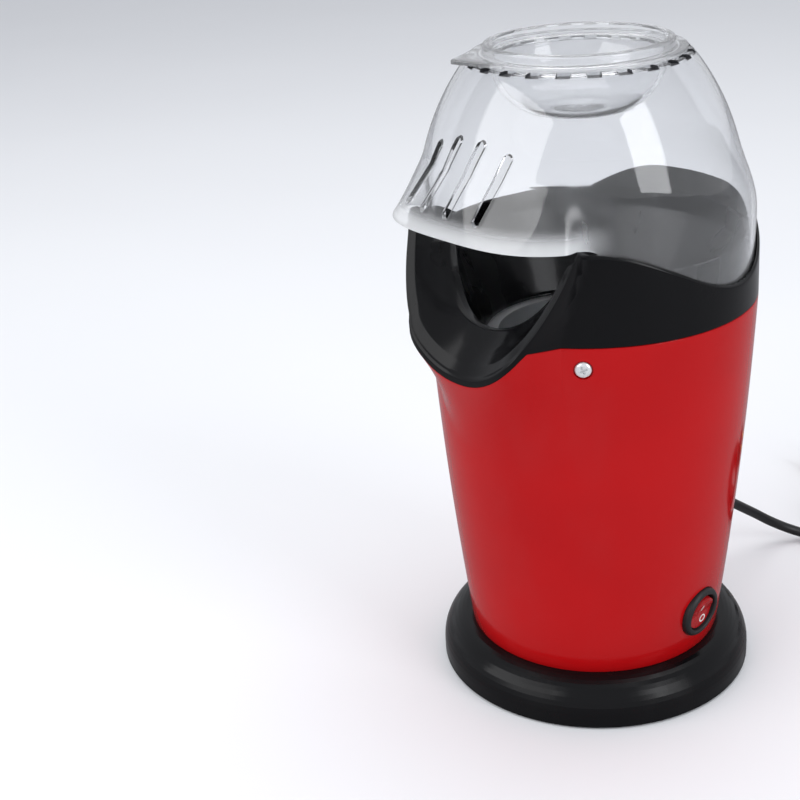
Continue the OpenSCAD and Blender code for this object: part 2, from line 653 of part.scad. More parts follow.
module fan() color(black) difference() {
    union() {
        translate([0, 0, fan_z]) cylinder(r = fan_hub_r, h = fan_h);
        intersection() {
            ring(housing_r - fan_gap, fan_hub_r - 1, fan_z, fan_z + fan_h);
            for (i = [0:blade_n - 1]) rotate(360 * i / blade_n)
                translate([fan_hub_r - 1, 0, fan_z + fan_h / 2]) rotate([blade_pitch_a, 0, 0])
                    translate([0, -fan_h, -0.7]) cube([housing_r, 2 * fan_h, 1.4]);
        }
    }
    translate([0, 0, fan_z - 1]) cylinder(r = shaft_r, h = fan_h + 2);
}

module rectifier_board() color([0.20, 0.38, 0.24])
    ring(motor_r - 1, 4.6, motor_top_z, motor_top_z + 1.2);

module diodes() color(black)
    for (a = [0:90:270]) rotate(a) translate([-2.5, 9, motor_top_z + 1.2 + 1.3]) rotate([0, 90, 0])
        cylinder(r = 1.3, h = 5);

// ---- Heater ----

coil_r = 31;
heater_pitch = 6;
heater_start_z = housing_top_z + 4;
heater_step_a = 15;
heater_end_a = post_angles[0] + 360 * coil_turns - (post_angles[0] - post_angles[1]);

function heater_z(a) = heater_start_z + heater_pitch * (a - post_angles[0]) / 360;
heater_end_z = heater_z(heater_end_a);

module heater_boards() color(mica)
    for (i = [0:board_n - 1]) let(turned = 360 * i / board_n) difference() {
        rotate(turned) translate([-0.5, -sleeve_r + fit, housing_top_z])
            cube([1, sleeve_r - fit - motor_r - 3.2, board_h]);
        for (k = [0:coil_turns]) let(a = turned + 360 * k)
            if (a > post_angles[0] + 6 && a < heater_end_a - 6)
                translate(polar(coil_r, a, heater_z(a))) rotate([0, 90, turned])
                    translate([0, 0, -2]) cylinder(r = heater_wire_r + 0.6, h = 4);
    }

module heater_coil() color(steel) tube(concat(
    [polar(post_reach - post_r - 0.1, post_angles[0], heater_start_z)],
    [polar(coil_r + 4, post_angles[0], heater_start_z)],
    [for (a = [post_angles[0] + 5:heater_step_a:heater_end_a - 5]) polar(coil_r, a, heater_z(a))],
    [polar(coil_r + 4, heater_end_a, heater_end_z)],
    [polar(post_reach - post_r - 0.1, heater_end_a, heater_end_z)]), heater_wire_r, 6, [0, 0, 1]);

module heater_posts() color(brass)
    for (i = [0, 1]) let(top = [heater_start_z, heater_end_z][i]) {
        translate(polar(post_reach, post_angles[i], housing_top_z - flange_t - 5))
            cylinder(r = post_r, h = top + 2 - housing_top_z + flange_t + 5);
        translate(polar(post_reach, post_angles[i], housing_top_z)) cylinder(r = 2.4, h = 1);
    }

// ---- Thermostat and thermal fuse, on the sleeve ----

thermostat_a = -60;
thermostat_z = 120;
fuse_a = -90;

module thermostat() color(steel) difference() {
    rotate(thermostat_a) translate([0, 0, thermostat_z]) {
        out_rod(8, sleeve_r - 1, sleeve_r + 5);
        out_rod(5.5, sleeve_r + 4, sleeve_r + 8);
    }
    translate([0, 0, thermostat_z - 20]) cylinder(r = sleeve_r + sleeve_t, h = 40);
}

module thermal_fuse() color(brass)
    translate(polar(sleeve_r + sleeve_t + 2.2, fuse_a, thermostat_z - 20)) cylinder(r = 2, h = 11);

// ---- Switch ----

bezel_t = 2.2;              // how far the bezel stands out
bore_r = rocker_r + 0.9;
bezel_depth = 4;            // depth of the bezel's bore behind the shell's surface
switch_depth = 11.5;
pivot_in = 1.2;             // depth of the rocker's pivot behind the shell's surface
rocker_v_a = rocker_swing_a / 2;
terminal_len = 5.5;

module switch_bezel() color(black) on_shell(switch_a, switch_z) difference() {
    union() {
        out_rod(bezel_r, -switch_inset, bezel_t - 0.6);
        out_rod(bezel_r - 0.6, 0, bezel_t);
        out_rod(barrel_r, -bezel_depth, 0);
    }
    out_rod(bore_r, -bezel_depth - 1, bezel_t + 1);
}

module switch_body() color(black) on_shell(switch_a, switch_z)
    out_rod(barrel_r, -switch_depth, -bezel_depth);

// The rocker is drawn switched off, with its lower half pressed in
module in_rocker() on_shell(switch_a, switch_z) translate([0, pivot_in, 0]) rotate([rocker_v_a, 0, 0])
    children();

module switch_rocker() color(red) in_rocker() {
    intersection() {
        out_rod(rocker_r, -1, 5);
        translate([-10, 0, 0]) rotate([90, 0, 90]) linear_extrude(20)
            polygon([[0.8, -10], [0.8, 10], [-2 - 10 * tan(rocker_v_a), 10], [-2, 0],
                     [-2 - 10 * tan(rocker_v_a), -10]]);
    }
    translate([-bore_r + 0.3, 0, 0]) rotate([0, 90, 0]) cylinder(r = 0.7, h = 2 * bore_r - 0.6);
}

mark_t = 0.15;

module switch_marks() color(white) in_rocker() {
    translate([0, -2, 0]) rotate([rocker_v_a, 0, 0])
        translate([-0.45, -mark_t, 2.4]) cube([0.9, mark_t, 3.2]);
    translate([0, -2, 0]) rotate([-rocker_v_a, 0, 0]) translate([0, 0, -4]) difference() {
        out_rod(1.7, 0, mark_t);
        out_rod(1.1, -1, 1);
    }
}

module switch_terminals() color(brass) on_shell(switch_a, switch_z)
    for (z = [-4, 4]) translate([-2.4, switch_depth, z - 0.4]) cube([4.8, terminal_len, 0.8]);

// ---- Cord, its strain relief, coil, tie and plug ----

// The cord's route from the strain relief down to the table and to the coil
route = [[0, 81, 49.3], [0, 84, 48.7], [0, 87, 47.5], [0, 90, 45.6], [0, 93, 43.4], [0, 98, 39.6],
         [0, 104, 35.2], [0, 110, 30.9], [0, 116, 26.6], [0, 122, 22.3], [0.2, 127, 18.5],
         [0.8, 132, 14.8], [2.1, 137, 11.3], [4.4, 141.6, 8.3], [7.8, 145.6, 6], [12, 149, 4.5],
         [17, 151.9, 3.8], [23, 154.8, 3.5], [30, 157.9, 3.4], [37, 160.9, 3.3], [44, 164, 3.3]];
tie_t = 0.8;                          // the tie lifts the coil off the table by its own thickness
coil_in_r = 18;
coil_out_r = 37;
coil_mid = [30, 195.5, tie_t];
coil_h = 2 * cord_d;
plug_axis_y = coil_mid[1] + 33.25;    // the cord leaves the coil here, along -X
plug_h = 14;
plug_len = 30;
plug_w = 35;
plug_x = 6.5;                         // back of the plug's body, which points along -X
pin_gap = 18.6;
relief_flange_r = relief_hole_r + 1.8;

relief_start = [0, shell_r(cord_z), cord_z];
relief_out = norm(route[0] - relief_start);
relief_a = atan2(relief_start[2] - route[0][2], route[0][1] - relief_start[1]);

// A tapered tail outside the shell, and a neck and a flange that hold it from the inside
module strain_relief() color(rubber)
    translate(relief_start) rotate([-90 - relief_a, 0, 0]) union() {
        translate([0, 0, 0.6]) cylinder(r1 = relief_hole_r + 0.6, r2 = cord_d / 2 + 0.7, h = relief_out - 0.6);
        translate([0, 0, -wall - 0.9]) cylinder(r = relief_hole_r - 0.15, h = wall + 1.6);
        translate([0, 0, -wall - 3.4]) cylinder(r = relief_flange_r, h = 2.5);
        translate([0, 0, -wall - 8]) cylinder(r = 3.2, h = 5);
    }

module cord() color(rubber) tube(route, cord_d / 2, 12, [0, 0, 1]);

module cord_coil() color(rubber) translate(coil_mid) ring(coil_out_r, coil_in_r, 0, coil_h);

module cord_tie() color(black) translate([coil_mid[0], coil_mid[1], 0]) difference() {
    translate([coil_in_r - 1.2, -3, 0]) cube([coil_out_r - coil_in_r + 2.1, 6, coil_h + 2 * tie_t]);
    translate([coil_in_r - 0.4, -4, tie_t]) cube([coil_out_r - coil_in_r + 0.5, 8, coil_h]);
}

module plug_body() color(rubber) translate([plug_x, plug_axis_y, plug_h / 2]) rotate(180) {
    linear_extrude(plug_h, center = true) polygon([
        [0, -6], [plug_len - 12, -plug_w / 2], [plug_len, -plug_w / 2],
        [plug_len, plug_w / 2], [plug_len - 12, plug_w / 2], [0, 6]]);
    translate([-8, 0, 0]) rotate([0, 90, 0]) cylinder(r1 = cord_d / 2 + 0.5, r2 = 4.5, h = 9);
}

module plug_pins() color(brass)
    for (side = [-0.5, 0.5]) translate([plug_x - plug_len, plug_axis_y + side * pin_gap, plug_h / 2])
        rotate([0, -90, 0]) cylinder(r = 2, h = 19);

// ---- Leads inside ----

lead_r = 1.1;

module lead(points) tube(curve(points, 3), lead_r, 6, [0, 0, 1]);

module lead_live() color([0.55, 0.32, 0.18]) lead([
    [1.6, 50.3, 52.4], polar(50, 173, 52.8), polar(49, 161, 53), polar(49, 143, 53),
    polar(49, 125, 52.4), polar(47.5, 112, 50), polar(45, 104, 47.2), polar(43.5, 100, 46.2)]);
module lead_heater() color([0.85, 0.85, 0.82]) lead([
    polar(43, 101, 38.6), polar(45, 107.5, 38.9), polar(47, 117, 40.6), polar(47.8, 128, 43.6),
    polar(47.2, 138, 46.9), polar(46, 145, 49.3), polar(45, 149, 50.6)]);
module lead_return() color([0.20, 0.36, 0.62]) lead([
    [-1.6, 50.3, 52.4], polar(49.8, 187, 52.6), polar(48.5, 193, 52), polar(46, 198, 51.3),
    polar(44.9, 199.4, 51)]);

base();
bottom_plate();
rubber_feet();
base_screws();
body_shell();
collar();
collar_screws();
popping_chamber();
duct_sleeve();
fan_housing();
housing_screws();
motor();
motor_screws();
motor_shaft();
fan();
rectifier_board();
diodes();
heater_boards();
heater_coil();
heater_posts();
thermostat();
thermal_fuse();
switch_bezel();
switch_body();
switch_rocker();
switch_marks();
switch_terminals();
strain_relief();
cord();
cord_coil();
cord_tie();
plug_body();
plug_pins();
lead_live();
lead_heater();
lead_return();
cover();
measuring_cup();
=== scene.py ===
# %% [markdown]
# # A hot-air popcorn maker, step by step
# The real object is a tabletop machine: a black base, a tapered red shell, a black collar with a
# pouring chute, a clear cover and a measuring cup in its crown. Its exact construction model is
# loaded first and gives every place and size. Blender adds the smooth moulded skins, the cord and
# the finishes. All lengths in the helpers are millimetres, and meshes are made in metres.

# %% Load the construction model
import json
import math
import bmesh
import bpy
from mathutils import Matrix, Vector


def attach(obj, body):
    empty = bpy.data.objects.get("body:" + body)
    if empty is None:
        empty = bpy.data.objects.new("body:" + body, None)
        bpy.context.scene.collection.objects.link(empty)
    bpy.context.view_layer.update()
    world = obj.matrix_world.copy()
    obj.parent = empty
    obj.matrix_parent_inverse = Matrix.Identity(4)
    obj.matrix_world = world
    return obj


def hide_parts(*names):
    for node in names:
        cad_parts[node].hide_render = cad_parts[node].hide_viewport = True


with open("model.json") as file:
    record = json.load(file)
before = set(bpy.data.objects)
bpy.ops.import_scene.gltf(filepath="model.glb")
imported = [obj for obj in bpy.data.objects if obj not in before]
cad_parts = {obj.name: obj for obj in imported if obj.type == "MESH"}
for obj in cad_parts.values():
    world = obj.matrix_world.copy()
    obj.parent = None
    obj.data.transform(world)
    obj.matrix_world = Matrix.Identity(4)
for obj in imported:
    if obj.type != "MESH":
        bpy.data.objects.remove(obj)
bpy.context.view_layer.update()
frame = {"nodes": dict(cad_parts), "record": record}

MM = 0.001
nodes = frame["nodes"]
scene = bpy.context.scene

# %% [markdown]
# ## Camera
# The object is seen from above its front right, with the chute turned to the left. A camera can be
# aimed with a constraint, but a plain matrix built from three directions says exactly where it
# looks, and lets the horizon lean a few degrees.

# %% Camera
AZIMUTH, DISTANCE, HEIGHT = 44.5, 0.60707, 0.39636
YAW, PITCH, ROLL = -8.18, -23.59, -3.91

def turned(vector, degrees):
    return Matrix.Rotation(math.radians(degrees), 3, "Z") @ Vector(vector)

yaw, pitch = math.radians(YAW), math.radians(PITCH)
forward = turned((math.sin(yaw) * math.cos(pitch), math.cos(yaw) * math.cos(pitch), math.sin(pitch)),
                 AZIMUTH)
level = turned((math.cos(yaw), -math.sin(yaw), 0), AZIMUTH)
upright = level.cross(forward)
tilt = math.radians(ROLL)
right = level * math.cos(tilt) + upright * math.sin(tilt)
up = upright * math.cos(tilt) - level * math.sin(tilt)
camera_data = bpy.data.cameras.new("camera")
camera_data.lens, camera_data.sensor_width = 65.5, 36
camera_data.clip_start, camera_data.clip_end = 0.02, 40
camera = bpy.data.objects.new("camera", camera_data)
scene.collection.objects.link(camera)
basis = Matrix((right, up, -forward)).transposed().to_4x4()
camera.matrix_world = Matrix.Translation(turned((0, -DISTANCE, HEIGHT), AZIMUTH)) @ basis
scene.camera = camera
print("camera at", [round(x, 3) for x in camera.matrix_world.translation])

# %% [markdown]
# ## Mains cord
# The real lead leaves a tapered strain relief at the back, droops to the table, and the length that
# isn't in use is wound up and tied. A cord could be simulated, but a fixed length on one smooth
# curve is easier to control: the route first, then two layers of turns lying a diameter apart.

# %% Cord route and coil
CORD_D = 5.0
ROUTE = [(0, 81, 49.3), (0, 84, 48.7), (0, 87, 47.5), (0, 90, 45.6), (0, 93, 43.4), (0, 98, 39.6),
         (0, 104, 35.2), (0, 110, 30.9), (0, 116, 26.6), (0, 122, 22.3), (0.2, 127, 18.5),
         (0.8, 132, 14.8), (2.1, 137, 11.3), (4.4, 141.6, 8.3), (7.8, 145.6, 6), (12, 149, 4.5),
         (17, 151.9, 3.8), (23, 154.8, 3.5), (30, 157.9, 3.4), (37, 160.9, 3.3), (44, 164, 3.3)]
COIL_X, COIL_Y, COIL_START = 30.0, 195.5, -66.0
LOW_Z, HIGH_Z = 3.3, 8.3

def smooth(t):
    t = min(max(t, 0.0), 1.0)
    return t * t * (3 - 2 * t)

def mix(p, q, t):
    return p + (q - p) * t

def coil_point(turned_by, radius, z):
    t = math.radians(COIL_START + turned_by)
    return (COIL_X + radius * math.cos(t), COIL_Y + radius * math.sin(t), z)

BOTTOM, CLIMB, TOP = 900, 180, 876
winding = [coil_point(t, 34.5 - CORD_D * t / 360, LOW_Z) for t in range(15, BOTTOM, 15)]
winding += [coil_point(BOTTOM + t, mix(22, 21.1, t / CLIMB), mix(LOW_Z, HIGH_Z, smooth(t / CLIMB)))
            for t in range(0, CLIMB, 15)]
winding += [coil_point(BOTTOM + CLIMB + t, 21.1 + CORD_D * t / 360, HIGH_Z) for t in range(0, TOP, 15)]
PLUG_Y = COIL_Y + 33.25
leaving = [(27, PLUG_Y, 8.3), (23.5, PLUG_Y, 8.3), (20, PLUG_Y, 8.3), (17, PLUG_Y, 8.15),
           (14.5, PLUG_Y, 7.7), (12, PLUG_Y, 7.2), (9, PLUG_Y, 7.0), (6, PLUG_Y, 7.0)]
cord_line = ROUTE + winding + leaving
cord_length = sum(math.dist(a, b) for a, b in zip(cord_line, cord_line[1:]))
print("cord points:", len(cord_line), "length", round(cord_length), "mm")

# %% Cord piece
def spline_object(name, points, radius, sides=6):
    data = bpy.data.curves.new(name, "CURVE")
    data.dimensions, data.bevel_depth, data.bevel_resolution = "3D", 1, sides
    data.use_fill_caps = True
    line = data.splines.new("NURBS")
    line.points.add(len(points) - 1)
    for target, point in zip(line.points, points):
        target.co = (*(c * MM for c in point), 1)
        target.radius = radius * MM
    line.order_u, line.use_endpoint_u, line.resolution_u = 3, True, 4
    obj = bpy.data.objects.new(name, data)
    scene.collection.objects.link(obj)
    return obj

def placed(piece, body, slot, *replaced):
    """Rides a piece on its body and hides the solids it stands for. Its slot argument is not used."""
    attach(piece, body)
    if replaced:
        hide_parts(*replaced)
    return piece

mains_cord = placed(spline_object("mains_cord", cord_line, CORD_D / 2), "housing", "rubber",
                    "cord", "cord_coil")
print("cord leaves at", ROUTE[0], "and ends at", leaving[-1])

# %% [markdown]
# ## Floor and light
# The machine stands on a plain pale floor under large soft lamps. An environment picture would
# light it too, but a plain bright world and three area lamps keep the light even, give the glossy
# plastic long soft highlights, and leave a soft contact shadow on the floor.

# %% Floor, world and lamps
def mesh_object(name, vertices, faces):
    data = bpy.data.meshes.new(name)
    data.from_pydata([tuple(c * MM for c in v) for v in vertices], [], faces)
    data.validate()
    obj = bpy.data.objects.new(name, data)
    scene.collection.objects.link(obj)
    return obj

FLOOR_R = 6000
floor_ring = [(FLOOR_R * math.cos(math.radians(a)), FLOOR_R * math.sin(math.radians(a)), 0)
              for a in range(0, 360, 6)]
floor = mesh_object("floor", floor_ring, [tuple(range(len(floor_ring)))])

world = bpy.data.worlds.new("studio")
scene.world = world
world.use_nodes = True
world.node_tree.nodes["Background"].inputs["Color"].default_value = (0.93, 0.95, 1.0, 1)
world.node_tree.nodes["Background"].inputs["Strength"].default_value = 0.66

def lamp(name, place, aim, size, power, colour=(1, 1, 1)):
    data = bpy.data.lights.new(name, "AREA")
    data.shape, data.size, data.size_y = "RECTANGLE", size[0], size[1]
    data.energy, data.color = power, colour
    obj = bpy.data.objects.new(name, data)
    scene.collection.objects.link(obj)
    direction = Vector(aim) - Vector(place)
    obj.matrix_world = Matrix.Translation(place) @ direction.to_track_quat("-Z", "Y").to_matrix().to_4x4()
    return obj

lamp("key", (-0.35, -1.35, 0.95), (0, 0, 0.12), (1.6, 1.2), 13)
lamp("fill", (1.35, 0.15, 0.75), (0, 0, 0.12), (0.6, 1.1), 8, (0.97, 0.98, 1))
lamp("overhead", (-0.2, 0.35, 1.6), (0, 0, 0.1), (1.3, 1.3), 10)
scene.view_settings.view_transform = "Standard"

# %% [markdown]
# ## Writing finishes as expressions
# A finish is a small network of nodes. Wiring them one by one hides the idea, so one class stands
# for a socket and turns +, - and * into Math nodes, and one method adds any other node. What varies
# over a surface goes to colour, roughness or bump, and what is the same all over is a plain number.

# %% A socket that can be calculated with
class Value:
    """An output socket that can be used in an expression."""

    def __init__(self, finish, socket):
        self.finish, self.socket = finish, socket

    def math(self, operation, *others):
        return self.finish.node("ShaderNodeMath", {"operation": operation},
                                dict(enumerate((self, *others))))

    def __add__(self, other): return self.math("ADD", other)
    def __mul__(self, other): return self.math("MULTIPLY", other)
    def __rsub__(self, other): return self * -1 + other
    __radd__, __rmul__ = __add__, __mul__

    def between(self, low, high):
        """0 below low, 1 above high, and a soft step in between."""
        return self.finish.node("ShaderNodeMapRange", {"interpolation_type": "SMOOTHSTEP"},
                                {"Value": self, "From Min": low, "From Max": high})

print("a value can also stand on the right:", [name for name in vars(Value) if name.startswith("__r")])

# %% A finish and its nodes
class Finish:
    """A material built from its Principled surface."""

    def __init__(self, name, roughness=0.4, **constants):
        self.material = bpy.data.materials.new(name)
        self.material.use_nodes = True
        self.tree = self.material.node_tree
        self.surface = self.tree.nodes["Principled BSDF"]
        self.feed(self.surface, {"Roughness": roughness})
        self.feed(self.surface, {key.replace("_", " ").title().replace("Ior", "IOR"): value
                                 for key, value in constants.items()})
        self.place = self.node("ShaderNodeTexCoord", out="Object")

    def feed(self, node, sockets):
        for key, value in sockets.items():
            socket = node.inputs[key]
            if isinstance(value, Value):
                self.tree.links.new(value.socket, socket)
            elif isinstance(value, tuple) and len(value) == 3 and len(socket.default_value) == 4:
                socket.default_value = (*value, 1)
            else:
                socket.default_value = value

    def node(self, kind, settings=None, sockets=None, out=0):
        made = self.tree.nodes.new(kind)
        for key, value in (settings or {}).items():
            setattr(made, key, value)
        self.feed(made, sockets or {})
        return Value(self, made.outputs[out])

    def along(self, axis):
        return self.node("ShaderNodeSeparateXYZ", sockets={"Vector": self.place}, out=axis)

    def noise(self, scale, detail=2.0, stretch=(1, 1, 1)):
        where = self.node("ShaderNodeMapping", sockets={"Vector": self.place, "Scale": stretch})
        return self.node("ShaderNodeTexNoise", sockets={"Vector": where, "Scale": scale,
                                                        "Detail": detail})

    def cells(self, scale, feature="F1"):
        return self.node("ShaderNodeTexVoronoi", {"feature": feature},
                         {"Vector": self.place, "Scale": scale})

    def blend(self, mask, first, second):
        return self.node("ShaderNodeMix", {"data_type": "RGBA"}, {0: mask, 6: first, 7: second}, out=2)

    def relief(self, height, depth):
        """Bump of a real depth in millimetres."""
        bump = self.node("ShaderNodeBump", sockets={"Height": height, "Distance": depth * MM,
                                                    "Strength": 1.0})
        self.feed(self.surface, {"Normal": bump})

    def paint(self, **sockets):
        self.feed(self.surface, {key.replace("_", " "): value for key, value in sockets.items()})

finishes = {}
print("helpers of a finish:", [name for name in vars(Finish) if not name.startswith("__")])

# %% [markdown]
# ## Moulded plastics
# The red shell and the black parts are glossy injection-moulded plastic. A flat colour with low
# roughness looks like wet paint. The real thing has a barely uneven surface that makes highlights
# ripple, faint handling smears that dull the gloss in patches, and dust where parts meet.

# %% Glossy plastics
def glossy(name, colour, deep, gloss=0.09, smear=0.16, shine=0.26):
    f = Finish(name, specular_ior_level=shine)
    tone = f.noise(9, 3)
    smears = f.noise(38, 4, (1, 1, 0.35)).between(0.48, 0.72)
    grain = f.noise(420, 2)
    dust = f.cells(900).between(0.16, 0.05) * f.noise(60, 2).between(0.55, 0.7)
    f.paint(Base_Color=f.blend(tone.between(0.3, 0.7), deep, colour),
            Roughness=smears * smear + gloss + dust * 0.12 + grain * 0.03)
    f.relief(f.noise(95, 2) * 0.75 + grain * 0.25, 0.035)
    finishes[name] = f.material

glossy("red_shell", (0.445, 0.0045, 0.0060), (0.39, 0.0030, 0.0045))
glossy("red_rocker", (0.40, 0.008, 0.010), (0.34, 0.005, 0.007), gloss=0.16)
glossy("black_gloss", (0.0042, 0.0042, 0.0048), (0.0030, 0.0030, 0.0036), gloss=0.15, smear=0.2, shine=0.2)
print("finishes so far:", list(finishes))

# %% [markdown]
# ## Matte plastics, rubber and prints
# Hidden mouldings, the cord's jacket and the feet are matte. Spark-eroded tools leave a fine
# pebble on matte plastic, while a soft cord jacket is smoother and picks up a grey bloom of dust.

# %% Matte plastics and rubber
def matte(name, colour, worn, grain_scale=1500, depth=0.03, rough=0.55):
    f = Finish(name, specular_ior_level=0.4)
    pebble = f.cells(grain_scale, "SMOOTH_F1")
    bloom = f.noise(30, 4).between(0.42, 0.75)
    f.paint(Base_Color=f.blend(bloom, colour, worn), Roughness=bloom * 0.14 + pebble * 0.1 + (rough - 0.1))
    f.relief(pebble, depth)
    finishes[name] = f.material

matte("black_matte", (0.013, 0.013, 0.014), (0.024, 0.024, 0.026))
matte("rubber", (0.010, 0.010, 0.011), (0.021, 0.021, 0.023), 2600, 0.012, 0.46)
matte("white_mark", (0.80, 0.80, 0.78), (0.70, 0.70, 0.67), 3000, 0.004, 0.5)
matte("board_green", (0.020, 0.085, 0.035), (0.014, 0.060, 0.026), 900, 0.02, 0.42)
print("finishes so far:", list(finishes))

# %% [markdown]
# ## Metals
# The screws are bright zinc plate, the chamber is spun aluminium, the fan housing and motor are
# plated sheet, and the terminals and pins are brass. Metals share one recipe: brushing marks made
# by noise stretched along one direction, and a slow change of tone where fingers or heat have been.

# %% Metals
def metal(name, bright, dull, brushed=(1, 1, 14), scale=160, rough=0.28, depth=0.006, metallic=1.0):
    f = Finish(name, metallic=metallic)
    strokes = f.noise(scale, 3, brushed)
    film = f.noise(26, 3).between(0.35, 0.72)
    f.paint(Base_Color=f.blend(film, bright, dull), Roughness=strokes * 0.16 + film * 0.1 + (rough - 0.1))
    f.relief(strokes, depth)
    finishes[name] = f.material

metal("steel", (0.62, 0.63, 0.65), (0.50, 0.50, 0.51))
metal("aluminium", (0.80, 0.81, 0.82), (0.68, 0.69, 0.70), (1, 1, 22), 120, 0.34)
metal("brass", (0.72, 0.52, 0.22), (0.56, 0.38, 0.15), (6, 1, 1), 300, 0.27)
metal("screw_zinc", (0.86, 0.87, 0.88), (0.74, 0.75, 0.77), (1, 1, 1), 700, 0.2, 0.01, 0.5)
print("metals:", list(finishes)[-4:])

# %% [markdown]
# ## Mica boards and sleeved leads
# The heater is wound on mica, a mineral pressed in flakes, and the leads inside wear woven sleeves.
# A picture of a weave would need UV maps. Cells and crossed noise need only the place of a point.

# %% Mica and woven sleeves
f = Finish("mica", roughness=0.5)
flakes = f.cells(420)
f.paint(Base_Color=f.blend(flakes.between(0.1, 0.55), (0.46, 0.37, 0.24), (0.60, 0.51, 0.36)),
        Roughness=flakes * 0.35 + 0.3)
f.relief(flakes, 0.05)
finishes["mica"] = f.material

def sleeved(name, colour, shade):
    """A wire in a woven sleeve: two crossing bands of fine waves."""
    f = Finish(name, roughness=0.6)
    weave = f.noise(1600, 1, (1, 1, 3)) * f.noise(1600, 1, (3, 3, 1))
    f.paint(Base_Color=f.blend(weave.between(0.12, 0.4), shade, colour), Roughness=weave * 0.3 + 0.5)
    f.relief(weave, 0.08)
    finishes[name] = f.material

sleeved("lead_brown", (0.19, 0.070, 0.030), (0.11, 0.040, 0.018))
sleeved("lead_grey", (0.56, 0.56, 0.52), (0.38, 0.38, 0.35))
sleeved("lead_blue", (0.020, 0.075, 0.33), (0.012, 0.045, 0.20))
print("finishes so far:", len(finishes))

# %% [markdown]
# ## Clear plastic
# The cover and the cup are clear polycarbonate. Glass made of thin single sheets looks wrong, so
# both are real solids two millimetres thick, and the light bends at each face as it should. The
# moulding isn't perfectly clear: it has a faint haze, fine scratches and flow lines show, and a
# pale band of painted light lies along the hood's lower edge.
# Both kinds of surface are mixed by a mask made from the height and the depth of each point. The
# cut faces of the crown's notches get a finish of their own, a dark colour painted on as shade.

# %% Clear cover and cup
def clear(name, haze, hood=False):
    """Clear plastic. The cover's has a pale band of painted light at the hood's edge, and a duller fold
    beside it.
    """
    f = Finish(name, transmission_weight=1.0, ior=1.49, specular_ior_level=0.5)
    flow = f.noise(22, 2, (1, 1, 0.5))
    scuffs = f.noise(240, 3, (1, 1, 0.12)).between(0.62, 0.8)
    roughness, haze_and_painted_light = scuffs * 0.10 + 0.012, scuffs * 0.02 + haze
    if hood:
        y, z = f.along("Y"), f.along("Z")
        fold = y.between(-0.066, -0.056) * (1 - y.between(-0.045, -0.036))
        roughness = fold * (1 - z.between(0.236, 0.250)) * 0.22 + roughness
        # painted light: a pale band at the front of the hood's lower edge
        edge = (1 - z.between(0.224, 0.232)) * (1 - y.between(-0.060, -0.040))
        haze_and_painted_light = edge * 0.45 + haze_and_painted_light
    f.paint(Base_Color=f.blend(flow, (0.965, 0.972, 0.985), (0.985, 0.988, 0.995)), Roughness=roughness)
    f.relief(flow, 0.05)
    # the pale layer gives both the plastic's faint haze and the band of painted light
    haze_and_painted_light_layer = f.node("ShaderNodeBsdfPrincipled", sockets={"Base Color": (0.90, 0.91, 0.92),
                                                        "Roughness": 0.35})
    both = f.node("ShaderNodeMixShader", sockets={0: haze_and_painted_light, 1: Value(f, f.surface.outputs[0]), 2: haze_and_painted_light_layer})
    f.feed(f.tree.nodes["Material Output"], {"Surface": both})
    finishes[name] = f.material

clear("clear", 0.10)
clear("clear_cover", 0.03, hood=True)

# painted shade: the notches' cut faces get a dark colour in place of the shade they show
f = Finish("notch_painted_shade", roughness=0.3, transmission_weight=0.5, ior=1.49)
f.paint(Base_Color=f.blend(f.noise(300, 2), (0.03, 0.03, 0.035), (0.09, 0.09, 0.10)))
finishes["notch_painted_shade"] = f.material
print("nodes in the clear cover's finish:", len(finishes["clear_cover"].node_tree.nodes))

# %% [markdown]
# ## Floor finish
# The floor is a matte white sweep. It only needs to be pale and even, and to keep the shadow. Black
# cards beside a glossy object keep its colour deep, and the same is done here by one mask: in
# reflections the floor is darker than it looks.

# %% Floor finish
f = Finish("sweep", roughness=0.85)
pale = f.blend(f.noise(3, 2), (0.80, 0.81, 0.83), (0.83, 0.84, 0.86))
refracted = f.node("ShaderNodeLightPath", out="Is Transmission Ray")
mirrored = f.node("ShaderNodeLightPath", out="Is Glossy Ray") * (1 - refracted)
f.paint(Base_Color=f.blend(mirrored, pale, (0.30, 0.30, 0.31)))
floor.data.materials.append(f.material)
print("finishes:", len(finishes))

# %% [markdown]
# ## The shape of the shell, the collar and the cover
# These parts share one idea: a closed outline for every angle round the axis, swept into a solid.
# The shell alone could be lathed, but the chute, the lip and the hood need an outline that changes
# with the angle. The formulas below are the ones the construction uses, sampled more finely.

# %% Sizes of the moulded parts
FOOT_R, TOP_R, BULGE, SHELL_H, WALL = 57.9, 71.6, 1.7, 160.5, 2.2
BASE_H = 20.5
RIM_H, FLARE, SEAM_GAP, FIT = 38.0, -0.5, 0.1, 0.3
DIP_H, DIP_A, DIP_HALF_A = 23.7, 105.0, 60.0
MOUTH_A, CORNER_REACH, CORNER_LIFT, LIP_REACH, LIP_T = 41.0, 61.0, 2.8, 79.0, 3.5
SPREAD_LOW_A, SPREAD_A, CHIN_H, CREST_R = -20.0, 16.0, 38.0, 61.0
SEAM_Z = BASE_H + SHELL_H
RIM_Z, SEAT_Z, INNER_WALL_Z = SEAM_Z + RIM_H, SEAM_Z + 13, SEAM_Z + 27.5
MOUTH_Z, CREST_Z, FLANGE_Z = SEAM_Z - 17, SEAM_Z, SEAM_Z - 18
CORNER_Z = RIM_Z + CORNER_LIFT
STEP_A = MOUTH_A / 14
WALL_LOW_A, WALL_HIGH_A = 12 * STEP_A, 15 * STEP_A
CHUTE_FULL_A, ROUND_FULL_A = 12.5 * STEP_A, 16 * STEP_A
CORNER_POWER, MOUTH_POWER, EDGE_RATE, LAP_H = 20, 2.3, 1.5, 15.0
print("seam", SEAM_Z, "rim", RIM_Z, "seat", SEAT_Z)

